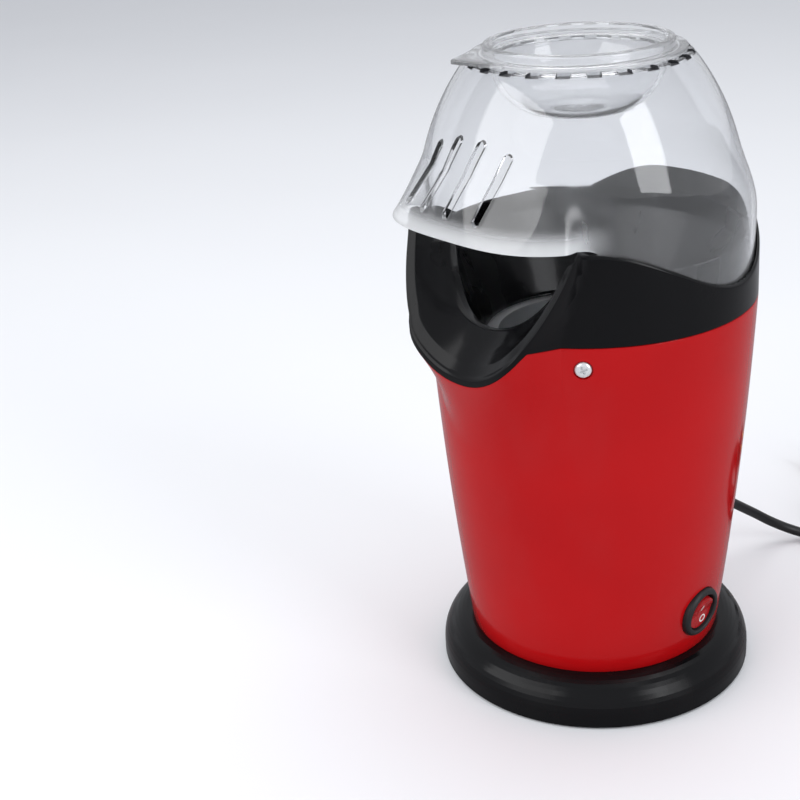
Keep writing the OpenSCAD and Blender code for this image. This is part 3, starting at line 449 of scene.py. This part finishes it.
# %% Shape of the shell and the collar
def sind(a): return math.sin(math.radians(a))
def cosd(a): return math.cos(math.radians(a))

def shell_r(z):
    t = (z - BASE_H) / SHELL_H
    if z > SEAM_Z:
        return TOP_R + FLARE * (z - SEAM_Z) / RIM_H
    return mix(FOOT_R, TOP_R, t) + 4 * BULGE * t * (1 - t)

def edge_z(a):
    return MOUTH_Z + (CORNER_Z - MOUTH_Z) * (abs(a) / MOUTH_A) ** MOUTH_POWER

def collar_r(a, z):
    """Outer radius of the collar: round, with the chute's side walls and front where they stand out."""
    rise = min(max((z - SEAM_Z) / RIM_H, 0), 1)
    wall_a, spread = mix(WALL_LOW_A, WALL_HIGH_A, rise), mix(SPREAD_LOW_A, SPREAD_A, rise)
    if abs(a) >= wall_a:
        return shell_r(z)
    front = mix(CORNER_REACH, LIP_REACH, smooth(EDGE_RATE * (CORNER_Z - z) / (CORNER_Z - MOUTH_Z)))
    side = max(sind(abs(a) - spread), 0.001) / (shell_r(z) * sind(wall_a - spread))
    box = (side ** CORNER_POWER + (cosd(a) / front) ** CORNER_POWER) ** (-1 / CORNER_POWER)
    return max(shell_r(z), box)

def seam_at(a):
    return min(SEAM_Z, edge_z(a) - LIP_T) if abs(a) < MOUTH_A else SEAM_Z

def outer_r(a, z):
    """Shell and collar together: the chin under the lip fades out down the shell."""
    zs = seam_at(a)
    s = (zs - z) / CHIN_H
    return collar_r(a, z) if s <= 0 else shell_r(z) + (collar_r(a, zs) - shell_r(zs)) * max(1 - s, 0) ** 2

def rim_at(a):
    x = (abs(a) - DIP_A) / DIP_HALF_A
    dip = DIP_H * (1 + cosd(180 * x)) / 2 if abs(x) < 1 else 0
    if abs(a) < MOUTH_A:
        return edge_z(a)
    return RIM_Z + CORNER_LIFT * max(1 - (abs(a) - MOUTH_A) / STEP_A, 0) - dip

print("under the lip", round(seam_at(0), 1), "reach of the lip", round(collar_r(0, MOUTH_Z), 1))

# %% [markdown]
# ## Sweeping and softening
# Moulded edges are never razor sharp. A bevel modifier works on most meshes, but on a swept solid
# it is cleaner to round each outline's corners before the sweep: every corner becomes a short
# curve with the same number of points, so neighbouring outlines still match. Small blocks are
# prisms between two outlines, and do take a bevel modifier.

# %% Soft corners
def soften(outline, radius=0.5, steps=2, closed=True):
    """Replaces every corner of an outline by a short curve."""
    n, result = len(outline), []
    for i, p in enumerate(outline):
        if not closed and i in (0, n - 1):
            result.append(Vector(p))
            continue
        p, before, after = Vector(p), Vector(outline[i - 1]), Vector(outline[(i + 1) % n])
        a = p + (before - p) * min(radius / max((before - p).length, 1e-6), 0.45)
        b = p + (after - p) * min(radius / max((after - p).length, 1e-6), 0.45)
        for t in (k / steps for k in range(steps + 1)):
            result.append(a * (1 - t) ** 2 + p * 2 * t * (1 - t) + b * t * t)
    return result

print("a triangle with soft corners has", len(soften([(0, 0, 0), (9, 0, 0), (0, 9, 0)])), "points")

# %% Smooth shading
def finished_mesh(obj, sharp_a=38):
    """Merges doubles, turns the faces outwards, and smooths all but real edges."""
    bm = bmesh.new()
    bm.from_mesh(obj.data)
    bmesh.ops.remove_doubles(bm, verts=bm.verts, dist=2e-6)
    bmesh.ops.dissolve_degenerate(bm, edges=bm.edges, dist=1e-6)
    bmesh.ops.recalc_face_normals(bm, faces=bm.faces)
    for face in bm.faces:
        face.smooth = True
    bm.to_mesh(obj.data)
    bm.free()
    obj.data.set_sharp_from_angle(angle=math.radians(sharp_a))
    return obj

# %% Sweep, lathe, prism and rod
def ring_faces(m, n, skipped=()):
    """Faces between m outlines of n points each, going all the way round."""
    return [(i * n + j, (i + 1) % m * n + j, (i + 1) % m * n + (j + 1) % n, i * n + (j + 1) % n)
            for i in range(m) for j in range(n) if j not in skipped]

def sweep(name, angles, outline):
    """A closed solid from one outline of (radius, height, shift) for each angle."""
    rings = [outline(a) for a in angles]
    points = [(p[0] * sind(a), -p[0] * cosd(a) - p[2], p[1])
              for a, ring in zip(angles, rings) for p in ring]
    return finished_mesh(mesh_object(name, points, ring_faces(len(angles), len(rings[0]))))

def lathe(name, profile, sides=128, matrix=Matrix(), sharp_a=38):
    """A solid turned from a closed profile of (radius, height). Points on the axis meet in one."""
    n = len(profile)
    points = [matrix @ Vector((p[0] * cosd(360 * i / sides), p[0] * sind(360 * i / sides), p[1]))
              for i in range(sides) for p in profile]
    on_axis = [j for j in range(n) if profile[j][0] <= 1e-4 and profile[(j + 1) % n][0] <= 1e-4]
    return finished_mesh(mesh_object(name, points, ring_faces(sides, n, on_axis)), sharp_a)

def prism(name, points):
    """A closed solid between two outlines, given as one list: all of the first, then the second."""
    n = len(points) // 2
    ends = [tuple(range(n)), tuple(range(n, 2 * n))]
    sides = [(j, (j + 1) % n, n + (j + 1) % n, n + j) for j in range(n)]
    return finished_mesh(mesh_object(name, points, ends + sides))

def rod(name, radius, low, high, matrix, sides=64):
    return lathe(name, [(0, low), (radius, low), (radius, high), (0, high)], sides, matrix)

print("three outlines of four points make", len(ring_faces(3, 4)), "faces")

# %% Joining, rounding and placing
def rounded(obj, width, segments, angle):
    """Puts a bevel of a width in millimetres on the edges that are sharper than an angle."""
    bevel = obj.modifiers.new("bevel", "BEVEL")
    bevel.width, bevel.segments = width * MM, segments
    bevel.limit_method, bevel.angle_limit = "ANGLE", math.radians(angle)
    return obj

def joined(obj, tools, operation, sharp_a=38):
    """Cuts helper solids out of a piece, or joins them to it, and removes the helpers."""
    for tool in tools:
        step = obj.modifiers.new(tool.name, "BOOLEAN")
        step.operation, step.object, step.solver = operation, tool, "EXACT"
        step.material_mode = "TRANSFER" if tool.data.materials else "INDEX"
    bpy.context.view_layer.update()
    shape = bpy.data.meshes.new_from_object(obj.evaluated_get(bpy.context.evaluated_depsgraph_get()))
    obj.modifiers.clear()
    obj.data = shape
    for tool in tools:
        bpy.data.objects.remove(tool)
    return finished_mesh(obj, sharp_a)

def on_shell(a, z):
    """A frame on the shell's surface whose Z points straight out of it."""
    slope = (shell_r(z + 1) - shell_r(z - 1)) / 2
    return (Matrix.Rotation(math.radians(a), 4, "Z") @ Matrix.Translation((0, -shell_r(z), z))
            @ Matrix.Rotation(math.atan(slope), 4, "X") @ Matrix.Rotation(math.pi / 2, 4, "X"))

def about(axis, degrees):
    return Matrix.Rotation(math.radians(degrees), 4, axis)

print("the front of the shell, at mid height:", [round(x, 1) for x in on_shell(0, 100).translation])

# %% [markdown]
# ## Red shell
# The shell is one tapered moulding that bellies out slightly and swells into a chin under the lip.
# Subdividing a cone would lose the crisp seam, so it is swept, and the holes for the switch, the
# screws and the cord are cut afterwards with boolean tools, as a drill would.

# %% Angles of the sweeps and places on the shell
MOULD_LINE_A = 45.4
half_degrees = [x for x in (30 + i / 2 for i in range(41)) if not 44.9 < x < 45.9]
fine_angles = sorted({round(x, 3) for x in [i * STEP_A / 2 for i in range(-20, 21)]
                      + [s * x for s in (-1, 1) for x in half_degrees]
                      + [s * x for s in (-1, 1) for x in (WALL_LOW_A, MOUTH_A, WALL_HIGH_A, ROUND_FULL_A)]
                      + [s * (MOULD_LINE_A + d) for s in (-1, 1) for d in (-0.3, -0.12, 0, 0.12, 0.3)]
                      + [s * a for s in (-1, 1) for a in range(55, 180, 2)] + [180.0]})
SCREW_Z, SCREW_ANGLES, SWITCH_A, SWITCH_Z, CORD_Z = SEAM_Z - 9.2, (-42, 42, 180), 96, 40, 51.5
print("angles swept:", len(fine_angles))

# %% Red shell
def shell_outline(a):
    zs = seam_at(a)
    foot = [mix(BASE_H, zs - CHIN_H, i / 14) for i in range(14)]
    rows = foot + [mix(zs - CHIN_H, zs, i / 16) for i in range(17)]
    outside = [(outer_r(a, z), z, 0) for z in rows]
    inside = [(r - WALL, z, 0) for r, z, _ in reversed(outside)]
    return soften(outside + inside, 0.35)

shell_skin = sweep("shell_skin", fine_angles, shell_outline)
switch_place, relief_place = on_shell(SWITCH_A, SWITCH_Z), on_shell(180, CORD_Z)
tools = [rod("hole", 9.8, -8, 6, switch_place), rod("flat", 12.1, -1.2, 6, switch_place),
         rod("cord_hole", 4.4, -8, 8, relief_place, 48)]
for a in SCREW_ANGLES:
    tools += [rod("screw_hole", 1.7, -6, 4, on_shell(a, SCREW_Z), 24),
              rod("recess", 4.0, -1, 4, on_shell(a, SCREW_Z), 48)]
joined(shell_skin, tools, "DIFFERENCE")
placed(shell_skin, "housing", "red_shell", "body_shell").data.materials.append(finishes["red_shell"])
print("shell faces:", len(shell_skin.data.polygons))

# %% [markdown]
# ## Black collar and chute
# The collar carries the cover in a groove, funnels the popcorn forward and ends in a rounded lip.
# Its rim dips on both sides, and a thin parting line from the mould runs down beside the chute.
# It is swept like the shell, with the parting line as a hair-thin groove in its outline.

# %% Outline of the collar
GROOVE_R = min(shell_r(SEAT_Z), shell_r(RIM_Z)) - 1.1
SKIRT_R = GROOVE_R - 0.3
COVER_T = 2.0
INNER_WALL_R = SKIRT_R - COVER_T - 0.3
FUNNEL_R, THROAT_R = INNER_WALL_R - 2, 46.0

def lap_in(a, z):
    return outer_r(a, z) - 2 * WALL - FIT

def collar_outline(a):
    zs, zt = seam_at(a), rim_at(a)
    line = 0.09 if abs(abs(a) - MOULD_LINE_A) < 0.05 else 0
    outside = [(outer_r(a, z) - WALL - FIT, z + (SEAM_GAP if z == zs else 0), 0)
               for z in (zs - LAP_H, zs - LAP_H / 2, zs)]
    outside += [(outer_r(a, zs), zs + SEAM_GAP, 0)]
    outside += [(collar_r(a, z) - line, z, 0)
                for z in (mix(zs, zt - 1, t) for t in (0.04, 0.2, 0.4, 0.6, 0.8))]
    outside += [(collar_r(a, zt - 1), zt - 1, 0), (collar_r(a, zt) - 0.5, zt, 0)]
    round_in = [(GROOVE_R, zt, 0), (GROOVE_R, SEAT_Z, 0), (INNER_WALL_R, SEAT_Z, 0),
                (INNER_WALL_R, INNER_WALL_Z, 0), (FUNNEL_R, INNER_WALL_Z, 0), (FUNNEL_R - 1, SEAT_Z + 6, 0),
                (THROAT_R, FLANGE_Z + 2, 0), (THROAT_R, FLANGE_Z, 0), (THROAT_R + 2.2, FLANGE_Z, 0),
                (FUNNEL_R - 3.5, SEAT_Z - 2.5, 0), (lap_in(a, zs), SEAT_Z - 2.5, 0),
                (lap_in(a, zs - LAP_H), zs - LAP_H, 0)]
    r = collar_r(a, zt)
    rising = mix(CREST_Z, INNER_WALL_Z, (abs(a) / CHUTE_FULL_A) ** MOUTH_POWER)
    crest = min(INNER_WALL_Z, max(rising, edge_z(a) + 6))
    chute_in = [(r - 1.6, zt + 0.8, 0), (r - 4.5, zt + 4.5, 0),
                ((r - 4.5 + CREST_R + 2) / 2, (zt + 4.5 + crest - 0.7) / 2, 0),
                (CREST_R + 2, crest - 0.7, 0),
                (CREST_R, crest, 0), (CREST_R - 3, crest - 1.5, 0), (THROAT_R, FLANGE_Z + 2, 0),
                (THROAT_R, FLANGE_Z, 0), (THROAT_R + 2.2, FLANGE_Z, 0), (CREST_R - 1.5, crest - 4.5, 0),
                (lap_in(a, zs), zt + 2.5, 0), (lap_in(a, zs - LAP_H), zs - LAP_H, 0)]
    k = smooth((abs(a) - CHUTE_FULL_A) / (ROUND_FULL_A - CHUTE_FULL_A))
    inside = [Vector(p).lerp(Vector(q), k) for p, q in zip(chute_in, round_in)]
    return soften(outside + (inside if abs(a) < ROUND_FULL_A else round_in), 0.6, 3)

print("points in the collar's outline:", len(collar_outline(0)))

# %% Black collar
collar_skin = sweep("collar_skin", fine_angles, collar_outline)
joined(collar_skin, [rod("boss", 3.8, 3.4, 12, on_shell(a, SCREW_Z) @ about("X", 180), 32)
                     for a in SCREW_ANGLES], "UNION")
joined(collar_skin, [rod("bore", 1.5, -13, 4, on_shell(a, SCREW_Z), 24) for a in SCREW_ANGLES],
       "DIFFERENCE")
placed(collar_skin, "housing", "black_gloss", "collar").data.materials.append(finishes["black_gloss"])
print("collar faces:", len(collar_skin.data.polygons))

# %% [markdown]
# ## Clear cover
# The cover is a dome whose front swells into a hood over the chute, with leaning vent slots and a
# notched crown that holds the cup. Glass needs a closed solid, so the dome is swept with both its
# faces, and the slots and notches are cut through it.

# %% Outline of the cover
COVER_H, CROWN_SHIFT, CROWN_HOLE_R, NOTCH_N = 90.2, 5.5, 41.5, 24
HOOD_REACH, HOOD_HALF_W, HOOD_H, HOOD_POWER, HOOD_POWER_Z = 82.4, 62.0, 24.0, 3.2, 1.3
CROWN_Z, HOOD_Z, COVER_Z = SEAT_Z + COVER_H, CORNER_Z + 1.2, SEAT_Z + FIT
DOME_START_Z, DOME_REACH, HOOD_SIDE_A = SEAT_Z + 19.5, COVER_H * 1.042, MOUTH_A - 3

def dome_r(z):
    return SKIRT_R * math.sqrt(1 - (max(z - DOME_START_Z, 0) / DOME_REACH) ** 2)

def dome_shift(z):
    return CROWN_SHIFT * smooth((z - RIM_Z) / 28)

def cover_r(a, z):
    if abs(a) > ROUND_FULL_A:
        return dome_r(z)
    across, ahead = max(abs(sind(a)), 0.001) / HOOD_HALF_W, cosd(a) / HOOD_REACH
    hood = (across ** HOOD_POWER + ahead ** HOOD_POWER) ** (-1 / HOOD_POWER)
    side = 1 - smooth((abs(a) - HOOD_SIDE_A) / (ROUND_FULL_A - HOOD_SIDE_A))
    fade = min(max((HOOD_Z + HOOD_H - z) / HOOD_H, 0), 1) ** HOOD_POWER_Z
    return dome_r(z) + side * fade * max(0, hood - dome_r(HOOD_Z) - dome_shift(HOOD_Z))

def cover_low(a):
    raised = mix(HOOD_Z, RIM_Z + FIT, min(max((abs(a) - MOUTH_A) / (2 * STEP_A), 0), 1))
    return mix(raised, COVER_Z, min(max((abs(a) - ROUND_FULL_A) / STEP_A, 0), 1))

def cover_outline(a):
    low, turn = cover_low(a), HOOD_Z + HOOD_H
    rows = [mix(low, turn, i / 22) for i in range(22)]
    rows += [mix(turn, CROWN_Z, sind(90 * i / 20)) for i in range(21)]
    outside = [(cover_r(a, z), z, dome_shift(z)) for z in rows]
    inside = []
    for z in reversed(rows[1:-1]):
        slope = cover_r(a, z + 0.5) - cover_r(a, min(z, CROWN_Z - 0.5) - 0.5)
        n = math.hypot(1, slope)
        inside.append((cover_r(a, z) - COVER_T / n, z + COVER_T * slope / n, dome_shift(z)))
    crown = [(CROWN_HOLE_R, CROWN_Z, CROWN_SHIFT), (CROWN_HOLE_R, CROWN_Z - COVER_T, CROWN_SHIFT)]
    return soften(outside + crown + inside + [(cover_r(a, low) - COVER_T, low, dome_shift(low))], 0.4)

print("points in the cover's outline:", len(cover_outline(0)))

# %% Clear cover with its slots and notches
cover_shell = sweep("cover_shell", fine_angles, cover_outline)
SLOT_N, SLOT_STEP_A, SLOT_LEAN_A, SLOT_LEN, SLOT_R = 4, 11.4, 22, 31, 2
NOTCH_HALF_W, NOTCH_H = 2.8, 1.3

def vent_slot(k):
    """A leaning slot with round ends, k steps away from the middle of the hood."""
    rise = (SLOT_LEN - 1.1 * k * k - 1.5 * abs(k)) / cosd(SLOT_LEAN_A) - 2 * SLOT_R
    place = (about("Z", k * SLOT_STEP_A) @ Matrix.Translation((-rise * sind(SLOT_LEAN_A), 0, HOOD_Z + 9))
             @ about("Y", SLOT_LEAN_A))
    ends = [(SLOT_R * cosd(t), rise + SLOT_R * sind(t)) for t in range(0, 181, 15)]
    ends += [(SLOT_R * cosd(t), SLOT_R * sind(t)) for t in range(180, 361, 15)]
    return prism("slot", [place @ Vector((x, y, z)) for y in (-45, -95) for x, z in ends])

def crown_notch(i):
    place = Matrix.Translation((0, -CROWN_SHIFT, 0)) @ about("Z", 360 / NOTCH_N * (i + 0.5))
    near, far = CROWN_HOLE_R - 1, CROWN_HOLE_R + 9
    square = [(-NOTCH_HALF_W, near), (NOTCH_HALF_W, near), (NOTCH_HALF_W, far), (-NOTCH_HALF_W, far)]
    notch = prism("notch", [place @ Vector((x, y, z)) for z in (CROWN_Z - NOTCH_H, CROWN_Z + 4)
                            for x, y in square])
    # the notch carries the painted shade onto the cut faces it leaves
    notch.data.materials.append(finishes["notch_painted_shade"])
    return notch

tools = [vent_slot(i - (SLOT_N - 1) / 2) for i in range(SLOT_N)] + [crown_notch(i) for i in range(NOTCH_N)]
cover_shell.data.materials.append(finishes["clear_cover"])
joined(cover_shell, tools, "DIFFERENCE")
placed(cover_shell, "cover", "clear", "cover")
print("cover faces:", len(cover_shell.data.polygons))

# %% [markdown]
# ## Measuring cup
# The cup sits in the crown: a raised ring, a flange that rests on the notches, a round bowl and a
# thumb tab. It is turned on a lathe from one profile, the way its mould was, and the tab is joined
# on so that no wall is left inside the clear plastic.

# %% Profile of the cup
CUP_T, RING_R, RING_W, RING_H, FLANGE_R = 1.8, CROWN_HOLE_R - 2.4, 3.9, 3.7, 44.2
BOWL_DEPTH, BOWL_FLAT_R = 24.0, 15.0
TAB_REACH, TAB_HALF_W, TAB_POWER, TAB_TILT_A, TAB_ROOT, CUP_TURN_A = 55.0, 26.3, 1.2, 3.0, 8.7, -22.0
CUP_Z = CROWN_Z + FIT
TOTAL_H = CUP_Z + CUP_T + RING_H
RING_IN_R, RIB_R = RING_R - RING_W, CROWN_HOLE_R - 2 * FIT
cup_place = Matrix.Translation((0, -CROWN_SHIFT, 0)) @ about("Z", CUP_TURN_A)

def bowl_curve(out, steps=20):
    return [(BOWL_FLAT_R + (RING_IN_R - BOWL_FLAT_R + out) * cosd(90 * i / steps),
             CUP_Z + CUP_T - (BOWL_DEPTH + out) * sind(90 * i / steps)) for i in range(steps + 1)]

profile = [(RIB_R - 1.6, CUP_Z), (RIB_R - 1.6, CUP_Z - 2.3), (RIB_R, CUP_Z - 2.3), (RIB_R, CUP_Z),
           (FLANGE_R, CUP_Z), (FLANGE_R, CUP_Z + CUP_T), (RING_R, CUP_Z + CUP_T), (RING_R, TOTAL_H - 0.8),
           (RING_R - 0.8, TOTAL_H), (RING_IN_R + 0.8, TOTAL_H), (RING_IN_R, TOTAL_H - 0.8)]
profile = [tuple(p) for p in soften(profile, 0.45, 3, closed=False)]
profile += bowl_curve(0) + [(0, CUP_Z + CUP_T - BOWL_DEPTH), (0, CUP_Z - BOWL_DEPTH - 0.3),
                            (0.9, CUP_Z - BOWL_DEPTH - 0.3), (1.3, CUP_Z - BOWL_DEPTH)]
profile += [p for p in reversed(bowl_curve(CUP_T)) if p[1] < CUP_Z] + [(RING_IN_R + CUP_T, CUP_Z)]
print("points in the cup's profile:", len(profile))

# %% Measuring cup and its tab
cup_shell = lathe("cup_shell", profile, 144, cup_place)

def tab_y(x):
    """The tab's outline: a blunt tip at x = 0 that runs out into the flange at x = -1 and 1."""
    blunt = 1 - math.sqrt(x * x + 0.0016) + 0.03
    return (FLANGE_R - TAB_REACH - TAB_ROOT) * blunt ** TAB_POWER if abs(x) < 1 else 0

outline = [(x / 24 * TAB_HALF_W, tab_y(x / 24)) for x in range(-24, 25)]
tab_place = cup_place @ Matrix.Translation((0, TAB_ROOT - FLANGE_R, CUP_Z)) @ about("X", -TAB_TILT_A)
tab = prism("tab", [tab_place @ Vector((x, y, z)) for z in (0, CUP_T) for x, y in outline])
joined(cup_shell, [rounded(tab, 0.7, 3, 60)], "UNION")
placed(cup_shell, "measuring_cup", "clear", "measuring_cup").data.materials.append(finishes["clear"])
print("cup faces:", len(cup_shell.data.polygons), "top at", TOTAL_H)

# %% [markdown]
# ## Collar screws
# Three pan-head screws hold the collar. A plain disc would do at a distance, but the domed head
# and its cross recess catch the light, so each head is turned and its recess cut.

# %% Screws
def pan_screw(name, place, length):
    """Head above z = 0 and shank below it, in a frame whose Z points out of the surface."""
    head = [(0, 1.7), (1.4, 1.66), (2.3, 1.5), (3.0, 1.15), (3.35, 0.7), (3.4, 0.35), (3.3, 0)]
    shank = [(1.5, 0), (1.5, -length), (0, -length)]
    screw = lathe(name, head + shank, 48, place)
    wing, half_w, cross = 2.1, 0.5, []
    for turn in (25, 115):
        bar = [(x, y, z) for z, w in ((0.3, wing * 0.6), (2.2, wing))
               for x, y in ((-w, -half_w), (w, -half_w), (w, half_w), (-w, half_w))]
        cross.append(prism("cross", [place @ about("Z", turn) @ Vector(c) for c in bar]))
    return joined(screw, cross, "DIFFERENCE", 30)

screws = []
for i, a in enumerate(SCREW_ANGLES):
    screw = pan_screw(f"collar_screw_{i}", on_shell(a, SCREW_Z) @ Matrix.Translation((0, 0, -1)), 9)
    placed(screw, "housing", "steel").data.materials.append(finishes["screw_zinc"])
    screws.append(screw)
for screw in screws:
    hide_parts("collar_screws")
print("screws:", len(screws))

# %% [markdown]
# ## Rocker switch
# A round switch with a black bezel and a red rocker, marked with a line and a ring. The rocker's
# face is a shallow valley whose two slopes tip in turn. Bezel and rocker are built with rounded
# edges, because on a part this small the edge highlights are what the eye reads.

# %% Bezel
bezel_profile = [(8.9, -4), (9.6, -4), (9.6, -1.2), (11.7, -1.2), (11.7, 0.9), (10.9, 1.9),
                 (9.5, 2.2), (8.9, 1.6)]
bezel_profile = [(p[0], p[1]) for p in soften([(r, z, 0) for r, z in bezel_profile], 0.35, 4)]
bezel = lathe("bezel_ring", bezel_profile, 96, switch_place)
placed(bezel, "housing", "black_gloss", "switch_bezel").data.materials.append(finishes["black_matte"])
print("bezel faces:", len(bezel.data.polygons))

# %% Rocker
ROCKER_R, ROCKER_A, PIVOT_DEPTH = 8.0, 10.0, 1.2
rocker_place = switch_place @ Matrix.Translation((0, 0, -PIVOT_DEPTH)) @ about("X", ROCKER_A)

def rocker_point(x, y):
    """A point of the valley-shaped face, whose middle is blunt and whose rim is rounded off."""
    r, blunt = math.hypot(x, y), math.sqrt(y * y + 0.6)
    drop = 0 if r < 7.2 else (0.12 if r < 7.9 else 0.5)
    return (x, y, 2 + blunt * math.tan(math.radians(ROCKER_A)) - 0.13 - drop)

SIDES, CAP_RADII = 64, (2, 4, 6, 7.2, 7.8, ROCKER_R)
circle = [(cosd(360 * i / SIDES), sind(360 * i / SIDES)) for i in range(SIDES)]
points = [rocker_point(0, 0)] + [rocker_point(r * x, r * y) for r in CAP_RADII for x, y in circle]
points += [(ROCKER_R * x, ROCKER_R * y, -0.8) for x, y in circle] + [(0, 0, -0.8)]
following = [(i, (i + 1) % SIDES) for i in range(SIDES)]
rows = [1 + k * SIDES for k in range(len(CAP_RADII) + 1)]
faces = [(0, 1 + i, 1 + j) for i, j in following]
faces += [(a + i, b + i, b + j, a + j) for a, b in zip(rows, rows[1:]) for i, j in following]
faces += [(len(points) - 1, rows[-1] + j, rows[-1] + i) for i, j in following]
rocker = finished_mesh(mesh_object("rocker_cap", [rocker_place @ Vector(p) for p in points], faces), 50)
pivot = rod("pivot", 0.7, -8.6, 8.6, rocker_place @ about("Y", 90), 24)
joined(rocker, [pivot], "UNION", 50)
placed(rocker, "rocker", "red_rocker", "switch_rocker").data.materials.append(finishes["red_rocker"])
print("rocker faces:", len(rocker.data.polygons))

# %% Marks on the rocker
def on_slope(sign):
    """A frame on one of the rocker's two slopes, level with its face."""
    return rocker_place @ Matrix.Translation((0, 0, 2)) @ about("X", sign * ROCKER_A)

ring_mark = lathe("switch_print", [(1.35, -0.3), (1.9, -0.3), (1.9, 0.02), (1.35, 0.02)], 48,
                  on_slope(-1) @ Matrix.Translation((1.5, -3.7, 0)) @ Matrix.Diagonal((1.1, 1, 1, 1)))
line_place = on_slope(1) @ Matrix.Translation((-1.5, 3.9, 0))
line_mark = prism("line_mark", [line_place @ Vector((x, y, z)) for z in (-0.3, 0.02)
                                for x, y in ((-0.32, -1.6), (0.32, -1.6), (0.32, 1.6), (-0.32, 1.6))])
joined(ring_mark, [line_mark], "UNION")
placed(ring_mark, "rocker", "white_mark", "switch_marks").data.materials.append(finishes["white_mark"])
print("mark faces:", len(ring_mark.data.polygons))

# %% [markdown]
# ## Strain relief and plug
# The strain relief is a soft tapered boot with slits that let it bend, and the plug is a rounded
# grip. Both are moulded round the cord. The boot is turned with its rings, and the plug is a block
# with bevelled edges and a few finger grooves.

# %% Strain relief
relief_start = Vector((0, shell_r(CORD_Z), CORD_Z))
relief_end = Vector(ROUTE[0])
relief_axis = (relief_end - relief_start).to_track_quat("Z", "X").to_matrix().to_4x4()
relief_frame = Matrix.Translation(relief_start) @ relief_axis
relief_out = (relief_end - relief_start).length

def boot_r(z):
    return mix(5.0, 3.2, (z - 0.6) / (relief_out - 0.6))

boot = [(0, -WALL - 8), (3.2, -WALL - 8), (3.2, -WALL - 3.4), (6.2, -WALL - 3.4), (6.2, -WALL - 0.9),
        (4.25, -WALL - 0.9), (4.25, 0.6), (5.0, 0.6)]
for z in (3.0 + 2.2 * i for i in range(7)):
    boot += [(boot_r(z), z), (boot_r(z) - 0.9, z + 0.25), (boot_r(z) - 0.9, z + 0.75),
             (boot_r(z + 1), z + 1)]
boot += [(boot_r(relief_out), relief_out), (0, relief_out)]
relief_boot = lathe("relief_boot", boot, 64, relief_frame, 50)
placed(relief_boot, "housing", "rubber", "strain_relief").data.materials.append(finishes["rubber"])
mains_cord.data.materials.append(finishes["rubber"])
print("relief faces:", len(relief_boot.data.polygons))

# %% Plug
PLUG_X, PLUG_H = 6.5, 14.0
outline = [(PLUG_X, -6), (2, -8.5), (-11.5, -17.5), (-23.5, -17.5),
           (-23.5, 17.5), (-11.5, 17.5), (2, 8.5), (PLUG_X, 6)]
plug = prism("plug_grip", [(x, PLUG_Y + y, z) for z in (0, PLUG_H) for x, y in outline])
rounded(plug, 2.4, 5, 20)
tail_profile = [(0, -2), (4.6, -2), (4.5, 0.5), (4.1, 1.5), (4.0, 2.6), (3.4, 2.9), (3.4, 3.5), (3.9, 3.8),
                (3.7, 5), (3.1, 5.3), (3.1, 5.9), (3.4, 6.2), (3.1, 8), (0, 8)]
tail = lathe("tail", tail_profile, 48, Matrix.Translation((PLUG_X, PLUG_Y, PLUG_H / 2)) @ about("Y", 90))
joined(plug, [tail], "UNION")
grooves = [rod("groove", 0.9, 0, 22, Matrix.Translation((x, PLUG_Y - 11, z)) @ about("X", -90), 24)
           for x in (-14, -17, -20) for z in (0.2, PLUG_H - 0.2)]
joined(plug, grooves, "DIFFERENCE")
placed(plug, "housing", "rubber", "plug_body").data.materials.append(finishes["rubber"])
print("plug faces:", len(plug.data.polygons))

# %% [markdown]
# ## Finishes for the pieces that stay as they are
# The rest of the construction model already has the right shape: sheet parts, screws inside,
# boards, leads and feet. Each only needs its finish, put into the material slots it came with.

# %% Finishes on the remaining nodes
slot_of = {part["node"]: part["material_slot"] for part in frame["record"]["subparts"]}
shown = 0
for name, obj in nodes.items():
    finish = finishes.get(slot_of[name])
    if finish is None:
        print("no finish for", name, slot_of[name])
        continue
    for slot in obj.material_slots:
        slot.material = finish
    shown += 1
print("nodes finished:", shown)

# %% [markdown]
# ## Closing
